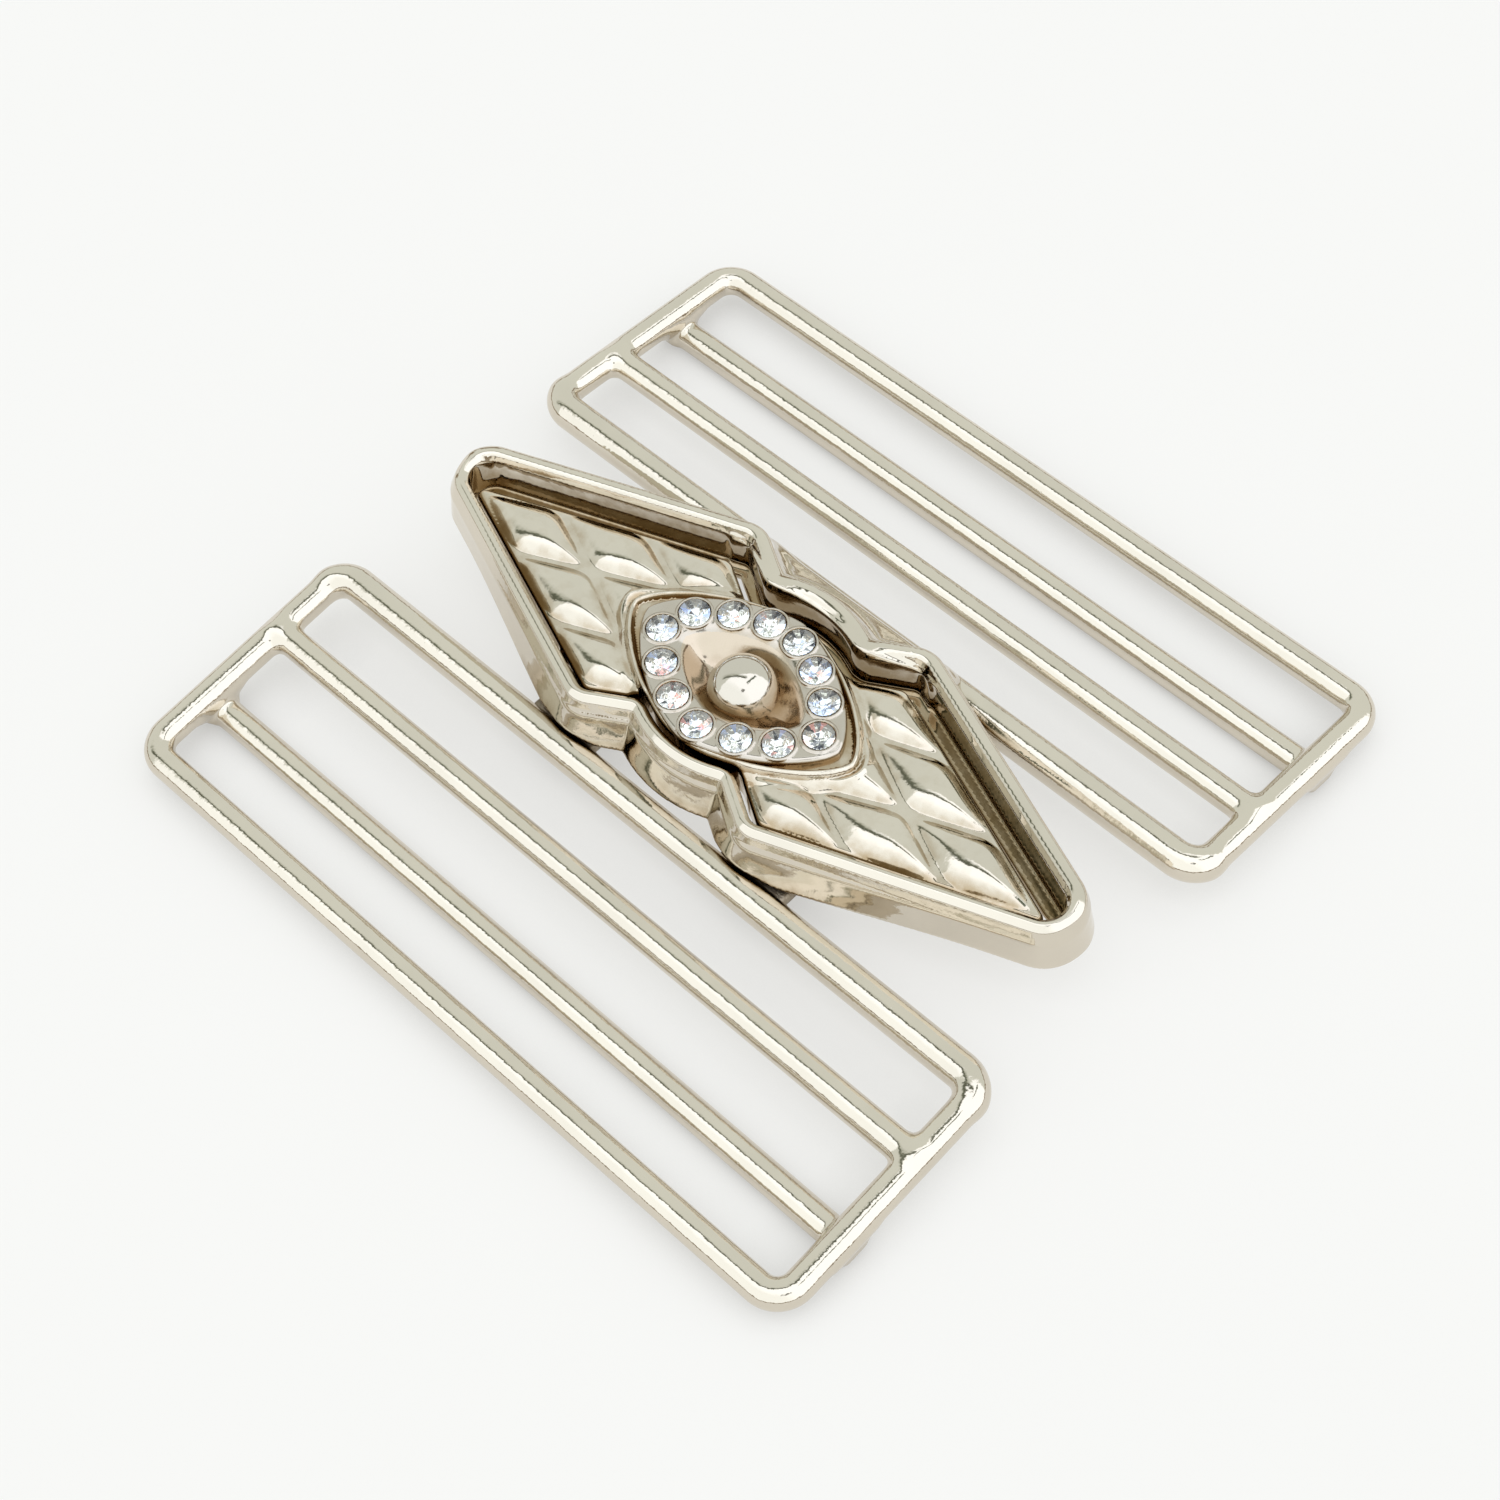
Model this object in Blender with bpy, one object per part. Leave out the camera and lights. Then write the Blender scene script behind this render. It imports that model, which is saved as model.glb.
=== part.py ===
"""Two-part interlocking belt clasp with a strap slider on each half.

Half A is a slider frame that carries an open lozenge rim. Half B is the same slider
frame that carries a quilted lozenge insert with a stone-set eye. The rim drops over the
insert, and the insert's two hook legs pass under the rim to the frame of half B.

Axes: +X along the lozenge, +Y from half B to half A, +Z up. The origin is on the table,
under the middle of the clasp. Lengths are in metres, and MM turns millimetres into them.
"""

import math

import bmesh
import bpy
from mathutils import Matrix, Vector

MM = 0.001

# Slider frames: a rounded rectangle seen from above, with two cross bars.
SLOT_LENGTH = 61.0 * MM
BAR_WIDTH = 2.25 * MM
INNER_BAR_SCALE = 1.2
FRAME_HALF_X = (SLOT_LENGTH + BAR_WIDTH) / 2
INNER_BAR_Y = 10.92 * MM
LEVEL_BAR_STEP = 6.5 * MM
LOW_BAR_STEP = 13.3 * MM
OUTER_BAR_STEP = 19.4 * MM
LOW_BAR_DROP = 1.62 * MM
FRAME_DROOP = math.radians(5.46)
CORNER_RADIUS = 1.9 * MM
THICK_BAR_FADE = 2.5 * MM
BAR_FLAT_ANGLE = math.radians(60)
GUSSET_HALF_WIDTH = 1.1 * MM
GUSSET_HALF_LENGTH = 2.7 * MM
BAR_RADIUS = BAR_WIDTH / 2
INNER_BAR_RADIUS = BAR_RADIUS * INNER_BAR_SCALE
BAR_UNDERSIDE = BAR_RADIUS * math.sin(BAR_FLAT_ANGLE)

# The low bars stand on the table, which sets the height of the inner bars.
LOW_BAR_FALL = LOW_BAR_STEP * math.sin(FRAME_DROOP) + LOW_BAR_DROP * math.cos(FRAME_DROOP)
INNER_BAR_Z = LOW_BAR_FALL + BAR_UNDERSIDE

# Receiver rim: corners of its opening in the first quadrant, each with a fillet radius.
RIM_CENTRE_Y = 0.4 * MM
RIM_BOTTOM = INNER_BAR_Z + 0.8 * MM
RIM_TOP = INNER_BAR_Z + 4.7 * MM
RIM_TIP = (31.2 * MM, 0.0, 1.5 * MM)
RIM_SHOULDER = (8.3 * MM, 8.55 * MM, 1.2 * MM)
RIM_CUSP = (4.4 * MM, 6.3 * MM, 0.6 * MM)
RIM_LOBE = (0.0, 8.0 * MM, 8.3 * MM)
RIM_EDGE_DROP = 0.4 * MM
RIM_RIDGE_OUT = 0.5 * MM
RIM_BROW_OUT = 1.05 * MM
RIM_CREASE_OUT = 1.4 * MM
RIM_CREASE_DROP = 1.4 * MM
RIM_FOOT_OUT = 1.5 * MM
RIM_LOBE_FOOT_OUT = 2.0 * MM
RIM_CUSP_OUTER_RADIUS = 0.35 * MM
RIM_FAR_SIDE_EXTRA = 0.2 * MM
RIM_FAR_SIDE_RAISE = 0.35 * MM
RIM_LEDGE_WIDTH = 1.0 * MM
RIM_LEDGE_HEIGHT = 0.6 * MM
RIM_UNDERCUT = 0.15 * MM

# Saddle that joins the rim to the inner bar of frame A.
SADDLE_HALF_X = 9.0 * MM
SADDLE_NECK_X = 6.2 * MM
SADDLE_INNER_Y = 7.85 * MM
SADDLE_SHOULDER_Y = 9.1 * MM
SADDLE_OUTER_Y = 11.2 * MM
SADDLE_BOTTOM = INNER_BAR_Z - 0.6 * MM
SADDLE_TOP = INNER_BAR_Z + 3.9 * MM
SADDLE_OUTER_TOP = INNER_BAR_Z + 1.9 * MM

# Quilted insert, pulled towards half B inside the rim.
INSERT_CENTRE_Y = -0.3 * MM
INSERT_TIP = (27.9 * MM, 0.0, 0.35 * MM)
INSERT_SHOULDER = (8.5 * MM, 7.45 * MM, 1.0 * MM)
INSERT_CUSP = (4.7 * MM, 5.2 * MM, 0.5 * MM)
INSERT_LOBE = (0.0, 7.0 * MM, 8.5 * MM)
INSERT_UNDERSIDE = INNER_BAR_Z + 1.4 * MM
INSERT_CREST = INNER_BAR_Z + 4.4 * MM
INSERT_TIP_FALL = 0.75 * MM
INSERT_EDGE_FALL = 0.35 * MM
INSERT_HALF_LENGTH = 27.3 * MM
INSERT_HALF_WIDTH = 7.3 * MM

# Quilting: two families of grooves that cross on a lattice of rhombs.
QUILT_MIDDLE_X = 15.35 * MM
QUILT_NEAR_X = 9.25 * MM
QUILT_HALF_Y = 2.85 * MM
QUILT_TIP_X = 27.2 * MM
QUILT_FAR_EDGE = (21.25 * MM, 2.55 * MM)
QUILT_NEAR_EDGE = (14.65 * MM, 5.05 * MM)
QUILT_SHOULDER = (8.7 * MM, 7.05 * MM)
QUILT_EYE_EDGE = (5.6 * MM, 5.0 * MM)
GROOVE_HALF_WIDTH = 0.22 * MM
PILLOW_SHOULDER = 0.55 * MM
PILLOW_HEIGHT = 0.4 * MM
PILLOW_PEAK_SCALE = 1.25
PILLOW_SKIRT = 0.05 * MM
PILLOW_ROOT = 0.3 * MM

# Hook legs of the insert, from its underside to the inner bar of frame B.
LEG_INNER_X = 6.3 * MM
LEG_OUTER_X = 12.4 * MM
LEG_BOTTOM = INNER_BAR_Z - 0.75 * MM
LEG_TOP = INNER_BAR_Z + 0.35 * MM
LEG_BACK_Y = -4.2 * MM
LEG_RISER_Y = -6.2 * MM

# Stone-set eye.
EYE_CENTRE_Y = INSERT_CENTRE_Y - 0.1 * MM
ALMOND_POWER = 1.5
RECESS_POWER = 1.65
SETTING_HALF_X = 9.3 * MM
SETTING_HALF_Y = 6.32 * MM
SETTING_BOTTOM = INNER_BAR_Z + 3.2 * MM
SETTING_TOP = INNER_BAR_Z + 5.3 * MM
SETTING_BEVEL = 0.2 * MM
SETTING_BEVEL_X = 0.3 * MM
LIP_HALF_X = 10.7 * MM
LIP_HALF_Y = 6.3 * MM
LIP_TOP = INNER_BAR_Z + 4.95 * MM
POCKET_SIDE_GAP = 0.9 * MM
RECESS_HALF_X = 5.4 * MM
RECESS_HALF_Y = 3.45 * MM
RECESS_FLOOR_SCALE = 0.86
RECESS_FLOOR = INNER_BAR_Z + 3.9 * MM
PUPIL_RADIUS = 2.5 * MM
PUPIL_HEIGHT = 2.2 * MM
STONE_COUNT = 13
STONE_RADIUS = 1.13 * MM
STONE_RING_HALF_X = 7.4 * MM
STONE_RING_HALF_Y = 4.95 * MM
STONE_RING_CROWDING = 0.018
STONE_SEAT_GAP = 0.12 * MM
STONE_TABLE_SCALE = 0.55
STONE_CROWN = 0.38 * MM
STONE_GIRDLE = 0.1 * MM
STONE_PAVILION = 0.8 * MM
STONE_CULET_SCALE = 0.25

# Gaps and resolution.
GAP = 0.3 * MM
HAIR = 0.0001 * MM
ARC_STEPS = 5
BAR_ARC_STEPS = 9
ROD_SIDES = 32
ALMOND_STEPS = 14
RING_STEPS = 60
STONE_SIDES = 12
PUPIL_SIDES = 20
PUPIL_RINGS = 6
SMOOTH_ANGLE = math.radians(35)


def clear_scene():
    for thing in list(bpy.data.objects):
        bpy.data.objects.remove(thing, do_unlink=True)


def make_material(name, colour, metallic, roughness):
    material = bpy.data.materials.new(name)
    material.use_nodes = True
    shader = material.node_tree.nodes["Principled BSDF"]
    shader.inputs["Base Color"].default_value = (*colour, 1.0)
    shader.inputs["Metallic"].default_value = metallic
    shader.inputs["Roughness"].default_value = roughness
    return material


def add_object(name, mesh_builder, material=None):
    """Makes an object from a bmesh, with its faces pointing out and round parts smooth."""
    mesh = bpy.data.meshes.new(name)
    bmesh.ops.recalc_face_normals(mesh_builder, faces=mesh_builder.faces)
    mesh_builder.to_mesh(mesh)
    mesh_builder.free()
    mesh.shade_smooth()
    mesh.set_sharp_from_angle(angle=SMOOTH_ANGLE)
    thing = bpy.data.objects.new(name, mesh)
    bpy.context.collection.objects.link(thing)
    if material:
        mesh.materials.append(material)
    return thing


def combine(target, tool, operation):
    """Joins or cuts target with a tool that stays hidden."""
    tool.hide_render = True
    tool.display_type = "WIRE"
    modifier = target.modifiers.new(tool.name, "BOOLEAN")
    modifier.operation = operation
    modifier.solver = "EXACT"
    modifier.object = tool


# Outlines in the plane of the table.


def mirrored_outline(tip, shoulder, cusp, lobe):
    """The closed corner list, anticlockwise from +X, of an outline with two mirror planes."""
    quarter = [shoulder, cusp]
    corners = [tip]
    corners += quarter
    corners.append(lobe)
    corners += [(-x, y, r) for x, y, r in reversed(quarter)]
    corners.append((-tip[0], 0.0, tip[2]))
    corners += [(-x, -y, r) for x, y, r in quarter]
    corners.append((0.0, -lobe[1], lobe[2]))
    corners += [(x, -y, r) for x, y, r in reversed(quarter)]
    return corners


def turn_at(corners, index):
    """Positive where the outline turns left, which is at its outward corners."""
    before = Vector(corners[index - 1][:2])
    here = Vector(corners[index][:2])
    after = Vector(corners[(index + 1) % len(corners)][:2])
    return (here - before).cross(after - here)


def offset_outline(corners, distances, notch_radius=None):
    """Moves edge i, from corner i to corner i + 1, outward by distances[i]."""
    count = len(corners)
    lines = []
    for index in range(count):
        start = Vector(corners[index][:2])
        end = Vector(corners[(index + 1) % count][:2])
        along = (end - start).normalized()
        outward = Vector((along.y, -along.x))
        lines.append((start + outward * distances[index], along))
    moved = []
    for index in range(count):
        point, along = lines[index - 1]
        other_point, other_along = lines[index]
        travel = (other_point - point).cross(other_along) / along.cross(other_along)
        corner = point + along * travel
        mean = (distances[index - 1] + distances[index]) / 2
        radius = corners[index][2]
        if turn_at(corners, index) > 0:
            radius += mean
        elif notch_radius is not None:
            radius = notch_radius
        moved.append((corner.x, corner.y, radius))
    return moved


def fillet_outline(corners, steps=ARC_STEPS):
    """Replaces each corner by an arc of its radius, with steps + 1 points."""
    points = []
    count = len(corners)
    for index in range(count):
        here = Vector(corners[index][:2])
        back = (Vector(corners[index - 1][:2]) - here).normalized()
        ahead = (Vector(corners[(index + 1) % count][:2]) - here).normalized()
        radius = corners[index][2]
        half_angle = back.angle(ahead) / 2
        reach = radius / math.tan(half_angle)
        centre = here + (back + ahead).normalized() * (radius / math.sin(half_angle))
        start = here + back * reach - centre
        end = here + ahead * reach - centre
        sweep = start.angle_signed(end)
        for step in range(steps + 1):
            turn = Matrix.Rotation(-sweep * step / steps, 2)
            points.append(centre + turn @ start)
    return points


def almond(half_x, half_y, power=ALMOND_POWER, steps=ALMOND_STEPS):
    """A pointed oval, anticlockwise from +X, as a superellipse with a low power."""
    points = []
    for index in range(4 * steps):
        angle = 2 * math.pi * index / (4 * steps)
        cosine = math.cos(angle)
        sine = math.sin(angle)
        x = math.copysign(abs(cosine) ** (2 / power), cosine)
        y = math.copysign(abs(sine) ** (2 / power), sine)
        points.append(Vector((half_x * x, half_y * y)))
    return points


def spaced_points(outline, count):
    """Points along a closed outline from its first point, a little closer on side A."""
    lengths = [(outline[i] - outline[i - 1]).length for i in range(1, len(outline))]
    lengths.append((outline[0] - outline[-1]).length)
    whole = sum(lengths)
    spots = []
    index = 0
    passed = 0.0
    for number in range(count):
        share_round = number / count
        crowding = STONE_RING_CROWDING * math.sin(math.pi * share_round) ** 2
        target = (share_round - crowding) * whole
        while passed + lengths[index] < target:
            passed += lengths[index]
            index += 1
        share = (target - passed) / lengths[index]
        ahead = outline[(index + 1) % len(outline)]
        spots.append(outline[index].lerp(ahead, share))
    return spots


# Solids.


def ring_at(mesh_builder, outline, height, centre_y=0.0):
    return [mesh_builder.verts.new((p.x, p.y + centre_y, height)) for p in outline]


def bridge(mesh_builder, first, second):
    count = len(first)
    for index in range(count):
        ahead = (index + 1) % count
        mesh_builder.faces.new((first[index], first[ahead], second[ahead], second[index]))


def hoop(rings):
    """Closes a list of rings of vertices into a tube that meets itself."""
    mesh_builder = bmesh.new()
    loops = [[mesh_builder.verts.new(p) for p in ring] for ring in rings]
    for index in range(len(loops)):
        bridge(mesh_builder, loops[index - 1], loops[index])
    return mesh_builder


def stack(levels, centre_y=0.0):
    """A solid from outlines at rising heights, capped at both ends."""
    mesh_builder = bmesh.new()
    loops = [ring_at(mesh_builder, outline, height, centre_y) for outline, height in levels]
    for lower, upper in zip(loops, loops[1:]):
        bridge(mesh_builder, lower, upper)
    mesh_builder.faces.new(loops[0])
    mesh_builder.faces.new(loops[-1])
    return mesh_builder


def bar_section(radius, roll=0.0):
    """Across a bar: a circle with a flat underside, as (sideways, up) pairs."""
    section = []
    start = -BAR_FLAT_ANGLE
    sweep = math.pi + 2 * BAR_FLAT_ANGLE
    for step in range(BAR_ARC_STEPS + 1):
        angle = start + sweep * step / BAR_ARC_STEPS + roll
        section.append((radius * math.cos(angle), radius * math.sin(angle)))
    return section


def bar_along_x(section, half_length, y, z):
    mesh_builder = bmesh.new()
    ends = []
    for x in (-half_length, half_length):
        ends.append([mesh_builder.verts.new((x, y + side, z + up)) for side, up in section])
    bridge(mesh_builder, ends[0], ends[1])
    mesh_builder.faces.new(ends[0])
    mesh_builder.faces.new(ends[1])
    return mesh_builder


def round_rod(radius, half_length, y, z):
    section = [
        (radius * math.cos(angle), radius * math.sin(angle))
        for angle in (2 * math.pi * step / ROD_SIDES for step in range(ROD_SIDES))
    ]
    return bar_along_x(section, half_length, y, z)


# Slider frames, modelled with the inner bar along X and the frame running out along +Y.


def thickness_at(step_out):
    fade = min(max(1 - step_out / THICK_BAR_FADE, 0.0), 1.0)
    return 1 + (INNER_BAR_SCALE - 1) * fade


def frame_loop():
    corners = [
        (FRAME_HALF_X, 0.0, CORNER_RADIUS),
        (FRAME_HALF_X, OUTER_BAR_STEP, CORNER_RADIUS),
        (-FRAME_HALF_X, OUTER_BAR_STEP, CORNER_RADIUS),
        (-FRAME_HALF_X, 0.0, CORNER_RADIUS),
    ]
    rings = []
    for side, up in bar_section(BAR_RADIUS):
        distances = [side, side, side, side * INNER_BAR_SCALE]
        outline = fillet_outline(offset_outline(corners, distances))
        rings.append([Vector((p.x, p.y, up * thickness_at(p.y))) for p in outline])
    return hoop(rings)


def gusset(side):
    """Web below a short side, which carries one end of the low bar."""
    top = -BAR_UNDERSIDE / 2
    bottom = -LOW_BAR_DROP - BAR_UNDERSIDE / 2
    levels = []
    for height, half_length in ((bottom, BAR_RADIUS), (top, GUSSET_HALF_LENGTH)):
        outline = [
            Vector((side * FRAME_HALF_X + GUSSET_HALF_WIDTH * x, LOW_BAR_STEP + half_length * y))
            for x, y in ((-1, -1), (1, -1), (1, 1), (-1, 1))
        ]
        levels.append((outline, height))
    return stack(levels)


def place_on_side(thing, side):
    """Puts a frame piece on half A, side +1, or turned half round on half B, side -1."""
    thing.location = (0.0, side * INNER_BAR_Y, INNER_BAR_Z)
    turn = 0.0 if side > 0 else math.pi
    thing.rotation_euler = (-FRAME_DROOP, 0.0, turn)


def build_slider_frame(name, side, material):
    frame = add_object(name, frame_loop(), material)
    place_on_side(frame, side)
    reach = FRAME_HALF_X
    bars = {
        "level_bar": bar_along_x(bar_section(BAR_RADIUS), reach, LEVEL_BAR_STEP, 0.0),
        "low_bar": bar_along_x(
            bar_section(BAR_RADIUS, FRAME_DROOP), reach, LOW_BAR_STEP, -LOW_BAR_DROP
        ),
        "gusset_left": gusset(-1),
        "gusset_right": gusset(1),
    }
    for label, shape in bars.items():
        tool = add_object(f"tool_{name}_{label}", shape)
        place_on_side(tool, side)
        combine(frame, tool, "UNION")
    return frame


# Receiver rim.


def rim_outline(distance, lobe_distance=None):
    """The opening grown outwards: the wall is thicker along side A, next to frame A."""
    corners = mirrored_outline(RIM_TIP, RIM_SHOULDER, RIM_CUSP, RIM_LOBE)
    count = len(corners)
    lobe_distance = distance if lobe_distance is None else lobe_distance
    near_lobe = (2, 3, 8, 9)
    distances = [lobe_distance if i in near_lobe else distance for i in range(count)]
    if distance > 0:
        distances = [d + RIM_FAR_SIDE_EXTRA * (i < count / 2) for i, d in enumerate(distances)]
    notch = RIM_CUSP[2] if distance == 0 else RIM_CUSP_OUTER_RADIUS
    outline = fillet_outline(offset_outline(corners, distances, notch))
    return [Vector((p.x, p.y + RIM_CENTRE_Y)) for p in outline]


def ledge_outline():
    """Inner edge of the ledge at the foot of the wall on side A, and undercut on side B."""
    corners = mirrored_outline(RIM_TIP, RIM_SHOULDER, RIM_CUSP, RIM_LOBE)
    half = len(corners) // 2
    distances = [-RIM_LEDGE_WIDTH] * half + [RIM_UNDERCUT] * half
    outline = fillet_outline(offset_outline(corners, distances))
    return [Vector((p.x, p.y + RIM_CENTRE_Y)) for p in outline]


def raised(outline, height):
    """Lifts an outline to a height, and a little more towards side A."""
    points = []
    for p in outline:
        share = 0.5 + 0.5 * p.y / RIM_SHOULDER[1]
        lift = RIM_FAR_SIDE_RAISE * min(max(share, 0.0), 1.0)
        points.append(Vector((p.x, p.y, height + lift)))
    return points


def flat(outline, height):
    return [Vector((p.x, p.y, height)) for p in outline]


def rim_body():
    opening = rim_outline(0.0)
    ledge = ledge_outline()
    ledge_top = RIM_BOTTOM + RIM_LEDGE_HEIGHT
    return hoop(
        [
            flat(ledge, RIM_BOTTOM),
            flat(ledge, ledge_top),
            flat(opening, ledge_top),
            raised(opening, RIM_TOP - RIM_EDGE_DROP),
            raised(rim_outline(RIM_RIDGE_OUT), RIM_TOP),
            raised(rim_outline(RIM_BROW_OUT), RIM_TOP - RIM_EDGE_DROP),
            raised(rim_outline(RIM_CREASE_OUT), RIM_TOP - RIM_CREASE_DROP),
            flat(rim_outline(RIM_FOOT_OUT, RIM_LOBE_FOOT_OUT), RIM_BOTTOM),
        ]
    )


def saddle():
    """Block with a sloping top, from the rim wall out over the inner bar of frame A."""
    plan = [
        (-SADDLE_NECK_X, SADDLE_INNER_Y, SADDLE_TOP),
        (SADDLE_NECK_X, SADDLE_INNER_Y, SADDLE_TOP),
        (SADDLE_HALF_X, SADDLE_SHOULDER_Y, SADDLE_TOP),
        (SADDLE_HALF_X, SADDLE_OUTER_Y, SADDLE_OUTER_TOP),
        (-SADDLE_HALF_X, SADDLE_OUTER_Y, SADDLE_OUTER_TOP),
        (-SADDLE_HALF_X, SADDLE_SHOULDER_Y, SADDLE_TOP),
    ]
    mesh_builder = bmesh.new()
    lower = [mesh_builder.verts.new((x, y, SADDLE_BOTTOM)) for x, y, z in plan]
    upper = [mesh_builder.verts.new(corner) for corner in plan]
    bridge(mesh_builder, lower, upper)
    mesh_builder.faces.new(lower)
    mesh_builder.faces.new((upper[0], upper[1], upper[2], upper[5]))
    mesh_builder.faces.new((upper[2], upper[3], upper[4], upper[5]))
    return mesh_builder


def build_receiver_rim(material):
    rim = add_object("receiver_rim", rim_body(), material)
    combine(rim, add_object("tool_saddle", saddle()), "UNION")
    seat = round_rod(INNER_BAR_RADIUS + GAP, FRAME_HALF_X, INNER_BAR_Y, INNER_BAR_Z)
    combine(rim, add_object("tool_rim_seat", seat), "DIFFERENCE")
    return rim


# Quilted insert.


def plate_height(x, y):
    """Top of the plate at the bottom of the grooves: a low ridge that falls to the tips."""
    tip_fall = INSERT_TIP_FALL * (x / INSERT_HALF_LENGTH) ** 2
    return INSERT_CREST - tip_fall - INSERT_EDGE_FALL * abs(y) / INSERT_HALF_WIDTH


def insert_plate():
    """Ribs across the outline, joined from one tip to the other."""
    corners = mirrored_outline(INSERT_TIP, INSERT_SHOULDER, INSERT_CUSP, INSERT_LOBE)
    outline = fillet_outline(corners)
    upper_side = sorted((p for p in outline if p.y > HAIR), key=lambda p: p.x)
    mesh_builder = bmesh.new()
    ribs = []
    for p in upper_side:
        section = (
            (-p.y, INSERT_UNDERSIDE),
            (-p.y, plate_height(p.x, p.y)),
            (0.0, plate_height(p.x, 0.0)),
            (p.y, plate_height(p.x, p.y)),
            (p.y, INSERT_UNDERSIDE),
        )
        ribs.append([mesh_builder.verts.new((p.x, y + INSERT_CENTRE_Y, z)) for y, z in section])
    for rib, following in zip(ribs, ribs[1:]):
        bridge(mesh_builder, rib, following)
    mesh_builder.faces.new(ribs[0])
    mesh_builder.faces.new(ribs[-1])
    return mesh_builder


def pillow_plans():
    """Corners of the pillows on the +X wing, anticlockwise, on the groove lattice."""
    middle = (QUILT_MIDDLE_X, 0.0)
    near = (QUILT_NEAR_X, QUILT_HALF_Y)
    far_below = (QUILT_FAR_EDGE[0], -QUILT_FAR_EDGE[1])
    near_below = (QUILT_NEAR_X, -QUILT_HALF_Y)
    tip = [middle, far_below, (QUILT_TIP_X, 0.0), QUILT_FAR_EDGE]
    upper = [near, middle, QUILT_FAR_EDGE, QUILT_NEAR_EDGE]
    centre = [near_below, middle, near]
    shoulder = [QUILT_EYE_EDGE, near, QUILT_NEAR_EDGE, QUILT_SHOULDER]
    plans = [tip, upper, centre, shoulder]
    plans += [[(x, -y) for x, y in reversed(plan)] for plan in (upper, shoulder)]
    return plans


def pillow(plan):
    """A low cushion on the plate, bounded by the middle lines of its grooves."""
    corners = [(x, y, 0.0) for x, y in plan]
    steep = offset_outline(corners, [-GROOVE_HALF_WIDTH] * len(corners))
    crown = offset_outline(corners, [-GROOVE_HALF_WIDTH - PILLOW_SHOULDER] * len(corners))
    centre = sum((Vector(corner[:2]) for corner in corners), Vector((0, 0))) / len(corners)
    mesh_builder = bmesh.new()
    levels = []
    for outline, lift in ((steep, -PILLOW_ROOT), (steep, PILLOW_SKIRT), (crown, PILLOW_HEIGHT)):
        levels.append(
            [
                mesh_builder.verts.new((x, y + INSERT_CENTRE_Y, plate_height(x, y) + lift))
                for x, y, _ in outline
            ]
        )
    for lower, upper in zip(levels, levels[1:]):
        bridge(mesh_builder, lower, upper)
    mesh_builder.faces.new(levels[0])
    peak_z = plate_height(*centre) + PILLOW_HEIGHT * PILLOW_PEAK_SCALE
    peak = mesh_builder.verts.new((centre.x, centre.y + INSERT_CENTRE_Y, peak_z))
    count = len(plan)
    for index in range(count):
        mesh_builder.faces.new((levels[-1][index], levels[-1][(index + 1) % count], peak))
    return mesh_builder


def hook_leg(side):
    """Tab under the rim with a riser up to the insert, as one bent profile along X."""
    profile = [
        (-INNER_BAR_Y, LEG_BOTTOM),
        (LEG_BACK_Y, LEG_BOTTOM),
        (LEG_BACK_Y, INSERT_UNDERSIDE + GAP),
        (LEG_RISER_Y, INSERT_UNDERSIDE + GAP),
        (LEG_RISER_Y, LEG_TOP),
        (-INNER_BAR_Y, LEG_TOP),
    ]
    mesh_builder = bmesh.new()
    ends = []
    for x in (side * LEG_INNER_X, side * LEG_OUTER_X):
        ends.append([mesh_builder.verts.new((x, y, z)) for y, z in profile])
    bridge(mesh_builder, ends[0], ends[1])
    for end in ends:
        mesh_builder.faces.new(end)
    return mesh_builder


def build_quilted_insert(material):
    insert = add_object("quilted_insert", insert_plate(), material)
    for side in (-1, 1):
        leg = add_object(f"tool_hook_leg_{'left' if side < 0 else 'right'}", hook_leg(side))
        combine(insert, leg, "UNION")
    seat = round_rod(INNER_BAR_RADIUS + GAP, FRAME_HALF_X, -INNER_BAR_Y, INNER_BAR_Z)
    combine(insert, add_object("tool_leg_seat", seat), "DIFFERENCE")
    for number, plan in enumerate(pillow_plans()):
        for side, label in ((1, "right"), (-1, "left")):
            turned = plan if side > 0 else [(-x, y) for x, y in reversed(plan)]
            tool = add_object(f"tool_pillow_{label}_{number}", pillow(turned))
            combine(insert, tool, "UNION")
    lip = almond(LIP_HALF_X, LIP_HALF_Y)
    lip_levels = [(lip, INSERT_UNDERSIDE + GAP), (lip, LIP_TOP)]
    combine(insert, add_object("tool_eye_lip", stack(lip_levels, EYE_CENTRE_Y)), "UNION")
    pocket = almond(SETTING_HALF_X + GAP, SETTING_HALF_Y + POCKET_SIDE_GAP)
    pocket_levels = [(pocket, SETTING_BOTTOM - GAP), (pocket, SETTING_TOP + PUPIL_HEIGHT)]
    tool = add_object("tool_eye_pocket", stack(pocket_levels, EYE_CENTRE_Y))
    combine(insert, tool, "DIFFERENCE")
    return insert


# Eye setting, pupil and stones.


def stone_centres():
    ring = almond(STONE_RING_HALF_X, STONE_RING_HALF_Y, ALMOND_POWER, RING_STEPS)
    return [Vector((p.x, p.y + EYE_CENTRE_Y)) for p in spaced_points(ring, STONE_COUNT)]


def circle(centre, radius, sides):
    turns = (2 * math.pi * step / sides for step in range(sides))
    return [centre + Vector((radius * math.cos(a), radius * math.sin(a))) for a in turns]


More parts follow.
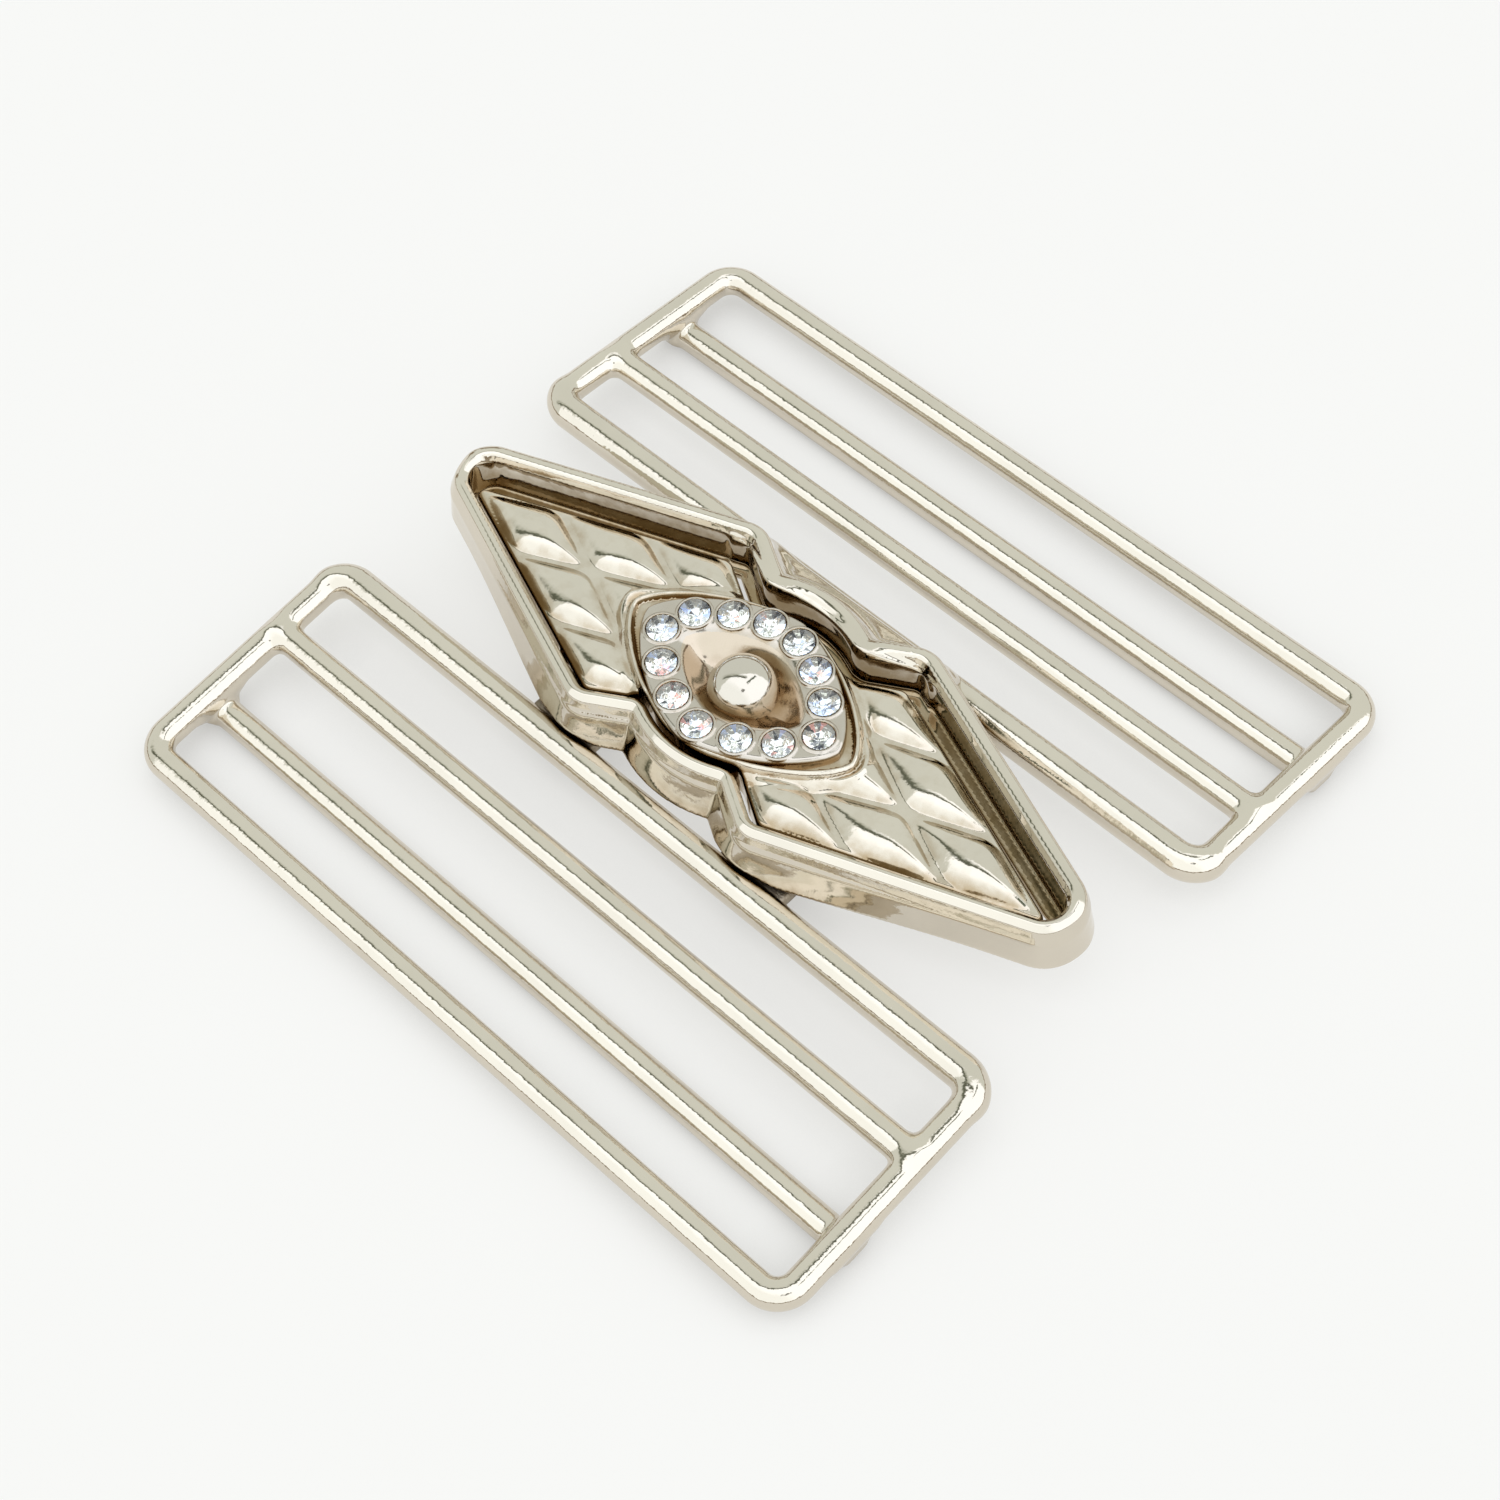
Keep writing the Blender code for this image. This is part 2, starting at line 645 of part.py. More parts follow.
def build_eye_setting(material):
    full = almond(SETTING_HALF_X, SETTING_HALF_Y)
    inset = almond(SETTING_HALF_X - SETTING_BEVEL_X, SETTING_HALF_Y - SETTING_BEVEL)
    levels = [(full, SETTING_BOTTOM), (full, SETTING_TOP - SETTING_BEVEL), (inset, SETTING_TOP)]
    setting = add_object("eye_setting", stack(levels, EYE_CENTRE_Y), material)
    mouth = almond(RECESS_HALF_X, RECESS_HALF_Y, RECESS_POWER)
    floor = [p * RECESS_FLOOR_SCALE for p in mouth]
    above = SETTING_TOP + GAP
    recess_levels = [(floor, RECESS_FLOOR), (mouth, SETTING_TOP), (mouth, above)]
    tool = add_object("tool_eye_recess", stack(recess_levels, EYE_CENTRE_Y))
    combine(setting, tool, "DIFFERENCE")
    seat_bottom = SETTING_TOP - STONE_PAVILION - GAP
    for number, centre in enumerate(stone_centres(), 1):
        outline = circle(centre, STONE_RADIUS + STONE_SEAT_GAP, STONE_SIDES)
        seat = stack([(outline, seat_bottom), (outline, above)])
        combine(setting, add_object(f"tool_stone_seat_{number:02d}", seat), "DIFFERENCE")
    return setting


def build_pupil(material):
    """Low dome with a flat base, turned about its own vertical axis."""
    base = RECESS_FLOOR + GAP
    levels = []
    for ring in range(PUPIL_RINGS):
        angle = math.pi / 2 * ring / PUPIL_RINGS
        outline = circle(Vector((0, 0)), PUPIL_RADIUS * math.cos(angle), PUPIL_SIDES)
        levels.append((outline, base + PUPIL_HEIGHT * math.sin(angle)))
    return add_object("pupil_dome", stack(levels, EYE_CENTRE_Y), material)


def build_stones(material):
    for number, centre in enumerate(stone_centres(), 1):
        girdle = circle(centre, STONE_RADIUS, STONE_SIDES)
        levels = [
            (circle(centre, STONE_RADIUS * STONE_CULET_SCALE, STONE_SIDES), -STONE_PAVILION),
            (girdle, 0.0),
            (girdle, STONE_GIRDLE),
            (circle(centre, STONE_RADIUS * STONE_TABLE_SCALE, STONE_SIDES), STONE_CROWN),
        ]
        raised = [(outline, SETTING_TOP + height) for outline, height in levels]
        add_object(f"rhinestone_{number:02d}", stack(raised), material)


def main():
    clear_scene()
    nickel = make_material("polished_nickel", (0.62, 0.59, 0.53), 1.0, 0.08)
    glass = make_material("clear_crystal", (0.92, 0.94, 0.97), 0.0, 0.02)
    build_slider_frame("slider_frame_a", 1, nickel)
    build_slider_frame("slider_frame_b", -1, nickel)
    build_receiver_rim(nickel)
    build_quilted_insert(nickel)
    build_eye_setting(nickel)
    build_pupil(nickel)
    build_stones(glass)


main()
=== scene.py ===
"""Visual model of a two-part interlocking belt clasp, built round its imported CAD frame."""

import math

import bpy
import numpy as np
from mathutils import Euler, Matrix, Vector


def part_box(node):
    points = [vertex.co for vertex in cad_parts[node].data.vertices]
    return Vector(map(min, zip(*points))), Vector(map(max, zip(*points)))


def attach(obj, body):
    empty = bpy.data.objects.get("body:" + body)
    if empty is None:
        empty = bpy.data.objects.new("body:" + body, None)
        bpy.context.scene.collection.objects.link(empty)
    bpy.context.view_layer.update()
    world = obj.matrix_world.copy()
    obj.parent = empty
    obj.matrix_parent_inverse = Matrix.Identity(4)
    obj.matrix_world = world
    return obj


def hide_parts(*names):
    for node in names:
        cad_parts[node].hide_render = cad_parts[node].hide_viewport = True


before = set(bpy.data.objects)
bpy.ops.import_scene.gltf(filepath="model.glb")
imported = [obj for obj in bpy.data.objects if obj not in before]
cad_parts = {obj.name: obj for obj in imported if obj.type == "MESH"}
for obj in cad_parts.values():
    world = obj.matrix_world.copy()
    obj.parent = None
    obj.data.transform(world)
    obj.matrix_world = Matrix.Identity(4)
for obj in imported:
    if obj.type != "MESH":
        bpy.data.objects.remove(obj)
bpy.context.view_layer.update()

MM = 0.001

# ---------------------------------------------------------------------------------------
# Dimensions in millimetres. Heights are above the axis of the inner bars, and LIFT is the
# height of that axis above the table.

BAR_RADIUS = 1.125
INNER_BAR_RADIUS = 1.35
FRAME_HALF_X = 31.625
INNER_BAR_Y = 10.92
LEVEL_BAR_STEP = 6.5
LOW_BAR_STEP = 13.3
OUTER_BAR_STEP = 19.4
LOW_BAR_DROP = 1.62
FRAME_DROOP = math.radians(5.46)
CORNER_RADIUS = 1.9
BAR_FLAT = 0.974
LOOP_FLAT_SHARE = 0.866
BAR_EDGE = 0.5
BAR_END = 0.3
BAR_JOINT = 0.7
THICK_BAR_FADE = (0.5, 2.5)
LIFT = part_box("slider_frame_a")[1].z / MM - INNER_BAR_RADIUS

GUSSET_HALF_WIDTH = 0.85
GUSSET_HALF_LENGTH = 2.7
GUSSET_FOOT_HALF_LENGTH = 1.0
GUSSET_FOOT_DROP = 0.75
GUSSET_CORNER = 0.6

RIM_CENTRE_Y = 0.45
RIM_BOTTOM = 0.8
RIM_TOP = 4.7
SHOULDER_SLANT = 0.577
LOBE_HALF_X = 9.0
RIM_FOOT_WIDTH = 1.65
RIM_FLARE_TOP = 3.7
RIM_FLARE_DEPTH = 2.9
RIM_FLARE_AT_TIP = 0.2
RIM_FLARE_AT_LOBE = 0.75
FAR_SIDE_RAISE = 0.35
LEDGE_WIDTH = 1.15
LEDGE_TOP = RIM_BOTTOM + 0.6

SADDLE_HALF_X = 9.5
SADDLE_INNER_Y = 6.5
SADDLE_CREST_Y = 8.6
SADDLE_OUTER_Y = 11.6
SADDLE_TOP = 3.9
SADDLE_FALL = 0.75
SADDLE_BOTTOM = -0.6
NEAR_BAR_ROOM = 0.2

INSERT_CENTRE_Y = -0.3
INSERT_HALF_LENGTH = 27.3
INSERT_HALF_WIDTH = 7.3
INSERT_BOTTOM = 1.4
INSERT_CREST = 4.2
INSERT_TIP_FALL = 0.85
INSERT_EDGE_FALL = 0.3
PILLOW_HEIGHT = 0.92
PILLOW_SHOULDER = 0.78
PILLOW_ROUNDNESS = 3.0
GROOVE_HALF_WIDTH = 0.12
GROOVE_ROUNDING = 0.22
LIP_OVAL = (10.45, 6.25)
LIP_TOP = 5.05
LIP_HALF_WIDTH = 0.45
LIP_PLATEAU = 0.55
POCKET_OVAL = (8.7, 5.8)
POCKET_FLOOR = 2.7

LEG_MIDDLE_X = 9.35
LEG_HALF_WIDTH = 3.05
LEG_BOTTOM = -0.75
LEG_TOP = 0.35
LEG_INNER_Y = -4.2
LEG_OUTER_Y = -10.0
RISER_OUTER_Y = -6.4
RISER_TOP = 3.0
SHADED_RAW_TOP = 1.2
SHADED_RAW_INNER_Y = -3.8

ALMOND_POWER = 1.5
SETTING_OVAL = (9.3, 6.32)
SETTING_TOP = 5.3
SETTING_BOTTOM = 2.9
BOWL = (5.6, 3.5, 1.6)
BOWL_DEPTH = 1.95
BOWL_REACH = 3.2
BOWL_FLATNESS = 2.6
BOWL_LIP = 0.75

STONE_COUNT = 13
STONE_RADIUS = 1.13
TABLE_RADIUS = 0.62
TABLE_HEIGHT = 0.38
CROWN_RADIUS = 0.9
CROWN_HEIGHT = 0.24
GIRDLE_HEIGHT = 0.09
KEEL_RADIUS = 0.42
KEEL_DEPTH = 0.52
CULET_DEPTH = 0.8
BEZEL_OUT = 0.13
BEZEL_THICKNESS = 0.12
SEAT_GAP = 0.05
SEAT_DEPTH = 0.95

PUPIL_RADIUS = 2.55
PUPIL_BASE = 3.9
PUPIL_HEIGHT = 2.4
PUPIL_FOOT = 0.9

# ---------------------------------------------------------------------------------------
# Distance fields


class Outline:
    """A closed filleted outline, anticlockwise, as straight and round stretches.

    distance() is the signed distance to it, negative inside.
    """

    def __init__(self, corners):
        count = len(corners)
        spots = [np.array(corner[:2], float) for corner in corners]
        self.arcs = []
        starts = []
        ends = []
        for index in range(count):
            here = spots[index]
            back = spots[index - 1] - here
            ahead = spots[(index + 1) % count] - here
            back /= np.linalg.norm(back)
            ahead /= np.linalg.norm(ahead)
            radius = corners[index][2]
            half = math.acos(np.clip(back @ ahead, -1, 1)) / 2
            reach = radius / math.tan(half)
            middle = (back + ahead) / np.linalg.norm(back + ahead)
            centre = here + middle * radius / math.sin(half)
            convex = back[0] * ahead[1] - back[1] * ahead[0] < 0
            starts.append(here + back * reach)
            ends.append(here + ahead * reach)
            self.arcs.append((centre, radius, -middle, math.cos(math.pi / 2 - half), convex))
        self.lines = []
        for index in range(count):
            begin = ends[index]
            end = starts[(index + 1) % count]
            self.lines.append((begin, end))

    def distance(self, x, y):
        best = np.full(x.shape, 1e9)
        signed = np.full(x.shape, 1e9)
        for begin, end in self.lines:
            along = end - begin
            length = np.linalg.norm(along)
            if length < 1e-9:
                continue
            along = along / length
            px = x - begin[0]
            py = y - begin[1]
            t = np.clip(px * along[0] + py * along[1], 0, length)
            gap = np.hypot(px - along[0] * t, py - along[1] * t)
            side = -(along[0] * py - along[1] * px)
            closer = gap < best
            best = np.where(closer, gap, best)
            signed = np.where(closer, np.copysign(gap, side), signed)
        for centre, radius, middle, limit, convex in self.arcs:
            px = x - centre[0]
            py = y - centre[1]
            out = np.hypot(px, py)
            inside_wedge = px * middle[0] + py * middle[1] >= out * limit
            gap = np.abs(out - radius)
            value = out - radius if convex else radius - out
            closer = inside_wedge & (gap < best)
            best = np.where(closer, gap, best)
            signed = np.where(closer, value, signed)
        return signed


def join(a, b, blend):
    """Union of two fields with a fillet about blend wide."""
    h = np.maximum(blend - np.abs(a - b), 0) / blend
    return np.minimum(a, b) - h * h * blend / 4


def cut(a, b, blend):
    """Intersection of two fields with a rounded edge about blend wide."""
    return -join(-a, -b, blend)


def plan_of(x, y):
    """One layer of a grid of places, or the places as they are if they are a plain list."""
    return (x[:, :, :1], y[:, :, :1]) if x.ndim == 3 else (x, y)


def smooth_step(low, high, value):
    t = np.clip((value - low) / (high - low), 0, 1)
    return t * t * (3 - 2 * t)


def surface_net(field, low, high, cell):
    """Vertices and quads of the field's zero surface, one vertex per crossed cell."""
    low = np.array(low, float)
    cell = np.broadcast_to(np.array(cell, float), 3)
    counts = np.ceil((np.array(high, float) - low) / cell).astype(int) + 1
    axes = [low[i] + cell[i] * np.arange(counts[i]) for i in range(3)]
    values = field(*np.meshgrid(*axes, indexing="ij"))
    inside = values < 0
    cells = tuple(counts - 1)
    total = np.zeros(cells + (3,))
    hits = np.zeros(cells)
    quads = []
    numbers = np.arange(np.prod(cells)).reshape(cells)
    for axis in range(3):
        first = [slice(None)] * 3
        second = [slice(None)] * 3
        first[axis] = slice(0, -1)
        second[axis] = slice(1, None)
        a = values[tuple(first)]
        b = values[tuple(second)]
        crossed = inside[tuple(first)] != inside[tuple(second)]
        spots = np.argwhere(crossed)
        share = a[crossed] / (a[crossed] - b[crossed])
        points = low + cell * spots.astype(float)
        points[:, axis] += cell[axis] * share
        others = [i for i in range(3) if i != axis]
        corners = []
        for da in (0, -1):
            for db in (0, -1):
                shifted = spots.copy()
                shifted[:, others[0]] += da
                shifted[:, others[1]] += db
                np.add.at(total, tuple(shifted.T), points)
                np.add.at(hits, tuple(shifted.T), 1)
                corners.append(numbers[tuple(shifted.T)])
        ring = np.stack([corners[0], corners[2], corners[3], corners[1]], 1)
        flip = inside[tuple(first)][crossed]
        if axis != 1:
            flip = ~flip
        ring[flip] = ring[flip][:, ::-1]
        quads.append(ring)
    used = hits.reshape(-1) > 0
    vertices = total.reshape(-1, 3)[used] / hits.reshape(-1)[used][:, None]
    renumber = np.cumsum(used) - 1
    return vertices, renumber[np.concatenate(quads)]


def slope_of(field, points, step=0.01):
    columns = []
    for axis in range(3):
        ahead = points.copy()
        behind = points.copy()
        ahead[:, axis] += step
        behind[:, axis] -= step
        columns.append((field(*ahead.T) - field(*behind.T)) / (2 * step))
    return np.stack(columns, 1)


def settle(field, points, rounds=3):
    """Moves points onto the zero surface, and returns them with the surface normals."""
    for _ in range(rounds):
        slope = slope_of(field, points)
        size = np.maximum((slope * slope).sum(1), 1e-6)
        move = (field(*points.T) / size)[:, None] * slope
        length = np.linalg.norm(move, axis=1)
        move *= np.minimum(1, 0.08 / np.maximum(length, 1e-9))[:, None]
        points = points - move
    slope = slope_of(field, points, 0.02)
    return points, slope / np.maximum(np.linalg.norm(slope, axis=1), 1e-9)[:, None]


def mesh_piece(name, vertices, faces, materials, body, nodes=(), normals=None, slots=None):
    """Adds a piece from arrays in millimetres, ties it to its body and hides the CAD nodes it
    replaces.
    """
    mesh = bpy.data.meshes.new(name)
    placed = np.asarray(vertices, float) * MM
    mesh.from_pydata(placed.tolist(), [], [list(face) for face in faces])
    mesh.update()
    if normals is not None:
        mesh.shade_smooth()
        mesh.normals_split_custom_set_from_vertices(normals.tolist())
    for material in materials:
        mesh.materials.append(material)
    if slots is not None:
        mesh.polygons.foreach_set("material_index", slots)
    piece = bpy.data.objects.new(name, mesh)
    bpy.context.scene.collection.objects.link(piece)
    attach(piece, body)
    if nodes:
        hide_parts(*nodes)
    return piece


def field_piece(name, field, low, high, cell, materials, body, nodes, chooser=None):
    """A piece from a field. chooser gives each face its material slot from its centre."""
    vertices, quads = surface_net(field, low, high, cell)
    vertices, normals = settle(field, vertices)
    slots = chooser(*vertices[quads].mean(1).T).astype(int) if chooser else None
    vertices[:, 2] += LIFT
    return mesh_piece(name, vertices, quads, materials, body, nodes, normals, slots)


# ---------------------------------------------------------------------------------------
# Fields of the castings


def bar_field(across, up):
    """A round bar with a slightly flattened underside."""
    return cut(np.hypot(across, up) - BAR_RADIUS, -up - BAR_FLAT, BAR_EDGE)


FRAME_LINE = Outline(
    [
        (FRAME_HALF_X, 0.0, CORNER_RADIUS),
        (FRAME_HALF_X, OUTER_BAR_STEP, CORNER_RADIUS),
        (-FRAME_HALF_X, OUTER_BAR_STEP, CORNER_RADIUS),
        (-FRAME_HALF_X, 0.0, CORNER_RADIUS),
    ]
)
GUSSET_FOOT = -LOW_BAR_DROP - GUSSET_FOOT_DROP
GUSSET_SIDE = Outline(
    [
        (LOW_BAR_STEP + GUSSET_HALF_LENGTH, -0.2, GUSSET_CORNER),
        (LOW_BAR_STEP - GUSSET_HALF_LENGTH, -0.2, GUSSET_CORNER),
        (LOW_BAR_STEP - GUSSET_FOOT_HALF_LENGTH, GUSSET_FOOT, GUSSET_CORNER),
        (LOW_BAR_STEP + GUSSET_FOOT_HALF_LENGTH, GUSSET_FOOT, GUSSET_CORNER),
    ]
)


def slider_field(side):
    """Field of one slider frame: its loop, level bar, low bar and the webs between."""
    cosine = math.cos(FRAME_DROOP)
    sine = math.sin(FRAME_DROOP)

    def field(x, y, z):
        out = side * y - INNER_BAR_Y
        step = out * cosine - z * sine
        up = out * sine + z * cosine
        across = FRAME_LINE.distance(x, step)
        thinning = INNER_BAR_RADIUS - BAR_RADIUS
        radius = INNER_BAR_RADIUS - thinning * smooth_step(*THICK_BAR_FADE, step)
        loop = np.hypot(across, up) - radius
        loop = cut(loop, -up - LOOP_FLAT_SHARE * radius, BAR_EDGE)
        reach = np.abs(x) - FRAME_HALF_X
        level = cut(bar_field(step - LEVEL_BAR_STEP, up), reach, BAR_END)
        low_across = step - LOW_BAR_STEP
        low_up = up + LOW_BAR_DROP
        turned = low_across * cosine + low_up * sine
        raised = -low_across * sine + low_up * cosine
        low = cut(bar_field(turned, raised), reach, BAR_END)
        side_of_web = np.abs(reach) - GUSSET_HALF_WIDTH
        web = cut(GUSSET_SIDE.distance(step, up), side_of_web, BAR_EDGE)
        shape = join(loop, level, BAR_JOINT)
        return join(shape, join(low, web, BAR_JOINT), BAR_JOINT)

    return field


def wing_outlines(tip, shoulder):
    """Right and left wings of a lozenge, from the tip and the shoulder of the right one."""
    neck_y = shoulder[1] - SHOULDER_SLANT * shoulder[0]
    right = [
        (tip[0], 0.0, tip[1]),
        (shoulder[0], shoulder[1], shoulder[2]),
        (0.0, neck_y, 0.3),
        (0.0, -neck_y, 0.3),
        (shoulder[0], -shoulder[1], shoulder[2]),
    ]
    left = [(-x, -y, r) for x, y, r in right]
    return Outline(right), Outline(left)


def lobe_outline(apex, radius, slope):
    """The lobe round the eye: two rounded points, with the sides hidden in the wings."""
    side = apex - slope * LOBE_HALF_X
    return Outline(
        [
            (LOBE_HALF_X, -side, 0.5),
            (LOBE_HALF_X, side, 0.5),
            (0.0, apex, radius),
            (-LOBE_HALF_X, side, 0.5),
            (-LOBE_HALF_X, -side, 0.5),
            (0.0, -apex, radius),
        ]
    )


RIM_WINGS = wing_outlines((31.2, 1.5), (8.3, 8.55, 1.2))
RIM_LOBE = lobe_outline(8.0, 8.3, 0.386)
NEAR_SECTION = Outline(
    [
        (0.0, RIM_BOTTOM, 0.15),
        (RIM_FOOT_WIDTH, RIM_BOTTOM, 0.3),
        (1.5, 3.3, 1.0),
        (1.05, 4.35, 0.5),
        (0.5, RIM_TOP + 0.06, 0.3),
        (0.0, 4.3, 0.3),
    ]
)
FAR_SECTION = Outline(
    [
        (0.0, RIM_BOTTOM, 0.15),
        (RIM_FOOT_WIDTH + 0.1, RIM_BOTTOM, 0.3),
        (1.6, 3.4, 1.0),
        (1.3, 4.5, 0.6),
        (0.62, RIM_TOP + 0.1, 0.4),
        (0.28, RIM_TOP - 0.05, 0.2),
        (0.0, 4.1, 0.2),
    ]
)


def rim_reach(x, y):
    """Distance out from the opening, with round cusps inside and sharp creases outside."""
    y = y - RIM_CENTRE_Y
    wings = np.minimum(RIM_WINGS[0].distance(x, y), RIM_WINGS[1].distance(x, y))
    lobe = RIM_LOBE.distance(x, y)
    return join(wings, lobe, 0.75 - 0.6 * smooth_step(0.0, 1.0, np.minimum(wings, lobe)))


def rim_widening(x, z):
    """How much thicker the wall gets as its foot flares out round the shoulders and lobe."""
    flare = RIM_FLARE_AT_TIP + RIM_FLARE_AT_LOBE * smooth_step(26.0, 9.0, np.abs(x))
    depth = np.clip((RIM_FLARE_TOP - z) / RIM_FLARE_DEPTH, 0, 1)
    return 1 + flare * depth ** 1.4 / RIM_FOOT_WIDTH


def rim_field(x, y, z):
    """Field of the rim: a wall that changes section from side to side, ledge and saddle."""
    u = rim_reach(*plan_of(x, y)) + 0 * z
    out = np.where(u > 0, u / rim_widening(x, z), u)
    tilt = FAR_SIDE_RAISE * smooth_step(-9.0, 9.0, y) * smooth_step(1.0, 3.5, z)
    far_side = smooth_step(-0.8, 1.2, y - RIM_CENTRE_Y)
    near_wall = NEAR_SECTION.distance(out, z - tilt)
    far_wall = FAR_SECTION.distance(out, z - tilt)
    wall = near_wall + far_side * (far_wall - near_wall)
    ledge_edge = -u - LEDGE_WIDTH * smooth_step(-0.5, 0.6, y - RIM_CENTRE_Y)
    ledge = cut(cut(ledge_edge, z - LEDGE_TOP, 0.25), cut(u - 0.5, RIM_BOTTOM - z, 0.2), 0.2)
    wall = join(wall, ledge, 0.25)
    slope = z - (SADDLE_TOP - SADDLE_FALL * (y - SADDLE_CREST_Y))
    saddle = cut(np.abs(x) - SADDLE_HALF_X, slope, 1.2)
    saddle = cut(saddle, cut(y - SADDLE_OUTER_Y, SADDLE_BOTTOM - z, 0.6), 0.8)
    saddle = cut(saddle, cut(-u, SADDLE_INNER_Y - y, 0.3), 0.3)
    shape = join(wall, saddle, 1.0)
    bar_room = INNER_BAR_RADIUS + NEAR_BAR_ROOM - np.hypot(y + INNER_BAR_Y, z)
    return cut(shape, bar_room, 0.3)


INSERT_WINGS = wing_outlines((28.3, 0.5), (8.5, 7.45, 1.0))
INSERT_LOBE = lobe_outline(7.0, 8.5, 0.383)
QUILT_EYE = (3.15, 0.0)
QUILT_NEAR = (9.25, 2.85)
QUILT_NEAR_MIRRORED = (9.25, -2.85)
QUILT_MIDDLE = (15.35, 0.0)
QUILT_TIP = (27.3, 0.0)
QUILT_FAR_EDGE = (21.25, 2.55)
QUILT_FAR_EDGE_MIRRORED = (21.25, -2.55)
QUILT_NEAR_EDGE = (14.65, 5.05)
QUILT_SHOULDER = (8.6, 7.3)
QUILT_EYE_EDGE = (4.6, 5.0)
PILLOWS = [
    [QUILT_MIDDLE, QUILT_FAR_EDGE_MIRRORED, QUILT_TIP, QUILT_FAR_EDGE],
    [QUILT_NEAR, QUILT_MIDDLE, QUILT_FAR_EDGE, QUILT_NEAR_EDGE],
    [QUILT_EYE, QUILT_NEAR_MIRRORED, QUILT_MIDDLE, QUILT_NEAR],
    [QUILT_EYE_EDGE, QUILT_NEAR, QUILT_NEAR_EDGE, QUILT_SHOULDER],
]
PILLOWS_OFF_THE_MIDDLE = (1, 3)


def pillow_edges():
    """Each pillow as its straight edges: a point, and the unit normal that points in."""
    pillows = []
    for number, plan in enumerate(PILLOWS):
        plans = [plan]
        if number in PILLOWS_OFF_THE_MIDDLE:
            plans.append([(x, -y) for x, y in reversed(plan)])
        for corners in plans:
            spots = [np.array(corner, float) for corner in corners]
            edges = []
            for here, ahead in zip(spots, spots[1:] + spots[:1]):
                along = (ahead - here) / np.linalg.norm(ahead - here)
                edges.append((here, np.array((-along[1], along[0]))))
            pillows.append(edges)
    return pillows


PILLOW_EDGES = pillow_edges()


def pillow_depth(x, y):
    """Distance in from the nearest groove, with the corners of every pillow rounded."""
    deepest = np.full(x.shape, -1e9)
    for edges in PILLOW_EDGES:
        total = 0
        for (px, py), (nx, ny) in edges:
            gap = np.clip((x - px) * nx + (y - py) * ny, -20, 20)
            total = total + np.exp(-PILLOW_ROUNDNESS * gap)
        deepest = np.maximum(deepest, -np.log(total) / PILLOW_ROUNDNESS)
    return deepest


def insert_height(x, y):
    """Top of the insert: quilted wings, and a raised lip round the eye."""
    x = np.abs(x)
    base = INSERT_CREST - INSERT_TIP_FALL * (x / INSERT_HALF_LENGTH) ** 2
    base = base - INSERT_EDGE_FALL * np.abs(y) / INSERT_HALF_WIDTH
    rise = pillow_depth(x, y) - GROOVE_HALF_WIDTH
    rise = np.where(rise > 0, rise * rise / (rise + GROOVE_ROUNDING), 0)
    pillow = PILLOW_HEIGHT * (1 - np.exp(-rise / PILLOW_SHOULDER))
    ring = almond_distance(x, y + INSERT_CENTRE_Y - EYE_CENTRE_Y, *LIP_OVAL, ALMOND_POWER)
    bump = (LIP_TOP - base) * np.exp(-((ring / LIP_HALF_WIDTH) ** 2))
    lip = np.maximum(bump, LIP_PLATEAU * smooth_step(1.2, 0.2, ring))
    return base + pillow * (1 - smooth_step(0.9, 0.3, ring)) + lip


def insert_reach(x, y):
    """Distance out from the edge of the insert in plan."""
    y = y - INSERT_CENTRE_Y
    wings = np.minimum(INSERT_WINGS[0].distance(x, y), INSERT_WINGS[1].distance(x, y))
    return join(wings, INSERT_LOBE.distance(x, y), 0.5)


LEG_SIDE = Outline(
    [
        (LEG_OUTER_Y, LEG_BOTTOM, 0.2),
        (LEG_INNER_Y, LEG_BOTTOM, 0.4),
        (LEG_INNER_Y, RISER_TOP, 0.1),
        (RISER_OUTER_Y, RISER_TOP, 0.1),
        (RISER_OUTER_Y, LEG_TOP, 0.4),
        (LEG_OUTER_Y, LEG_TOP, 0.2),
    ]
)


def insert_field(x, y, z):
    """Field of the insert: quilted plate with a pocket for the eye, and its two legs."""
    plan_x, plan_y = plan_of(x, y)
    reach = insert_reach(plan_x, plan_y) + 0 * z
    height = insert_height(plan_x, plan_y - INSERT_CENTRE_Y) + 0 * z
    plate = cut(cut(reach, (z - height) * 0.85, 0.45), INSERT_BOTTOM - z, 0.3)
    eye = almond_distance(plan_x, plan_y - EYE_CENTRE_Y, *POCKET_OVAL, ALMOND_POWER)
    plate = cut(plate, -cut(eye + 0 * z, POCKET_FLOOR - z, 0.1), 0.1)
    side_of_leg = np.abs(np.abs(x) - LEG_MIDDLE_X) - LEG_HALF_WIDTH
    legs = cut(LEG_SIDE.distance(y, z), side_of_leg, 0.5)
    return join(plate, legs, 0.5)


def almond_distance(x, y, half_x, half_y, power):
    """Near enough the signed distance to a pointed oval, exact at its edge."""
    a = np.maximum(np.abs(x), 1e-3) / half_x
    b = np.maximum(np.abs(y), 1e-3) / half_y
    size = (a ** power + b ** power) ** (1 / power)
    slope_x = (a / size) ** (power - 1) / half_x
    slope_y = (b / size) ** (power - 1) / half_y
    return (size - 1) / np.hypot(slope_x, slope_y)


def box_centre(name):
    """Middle of a CAD node in plan."""
    low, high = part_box(name)
    return (low.x + high.x) / 2 / MM, (low.y + high.y) / 2 / MM


STONES = [box_centre(f"rhinestone_{number:02d}") for number in range(1, STONE_COUNT + 1)]
EYE_CENTRE_Y = box_centre("eye_setting")[1]


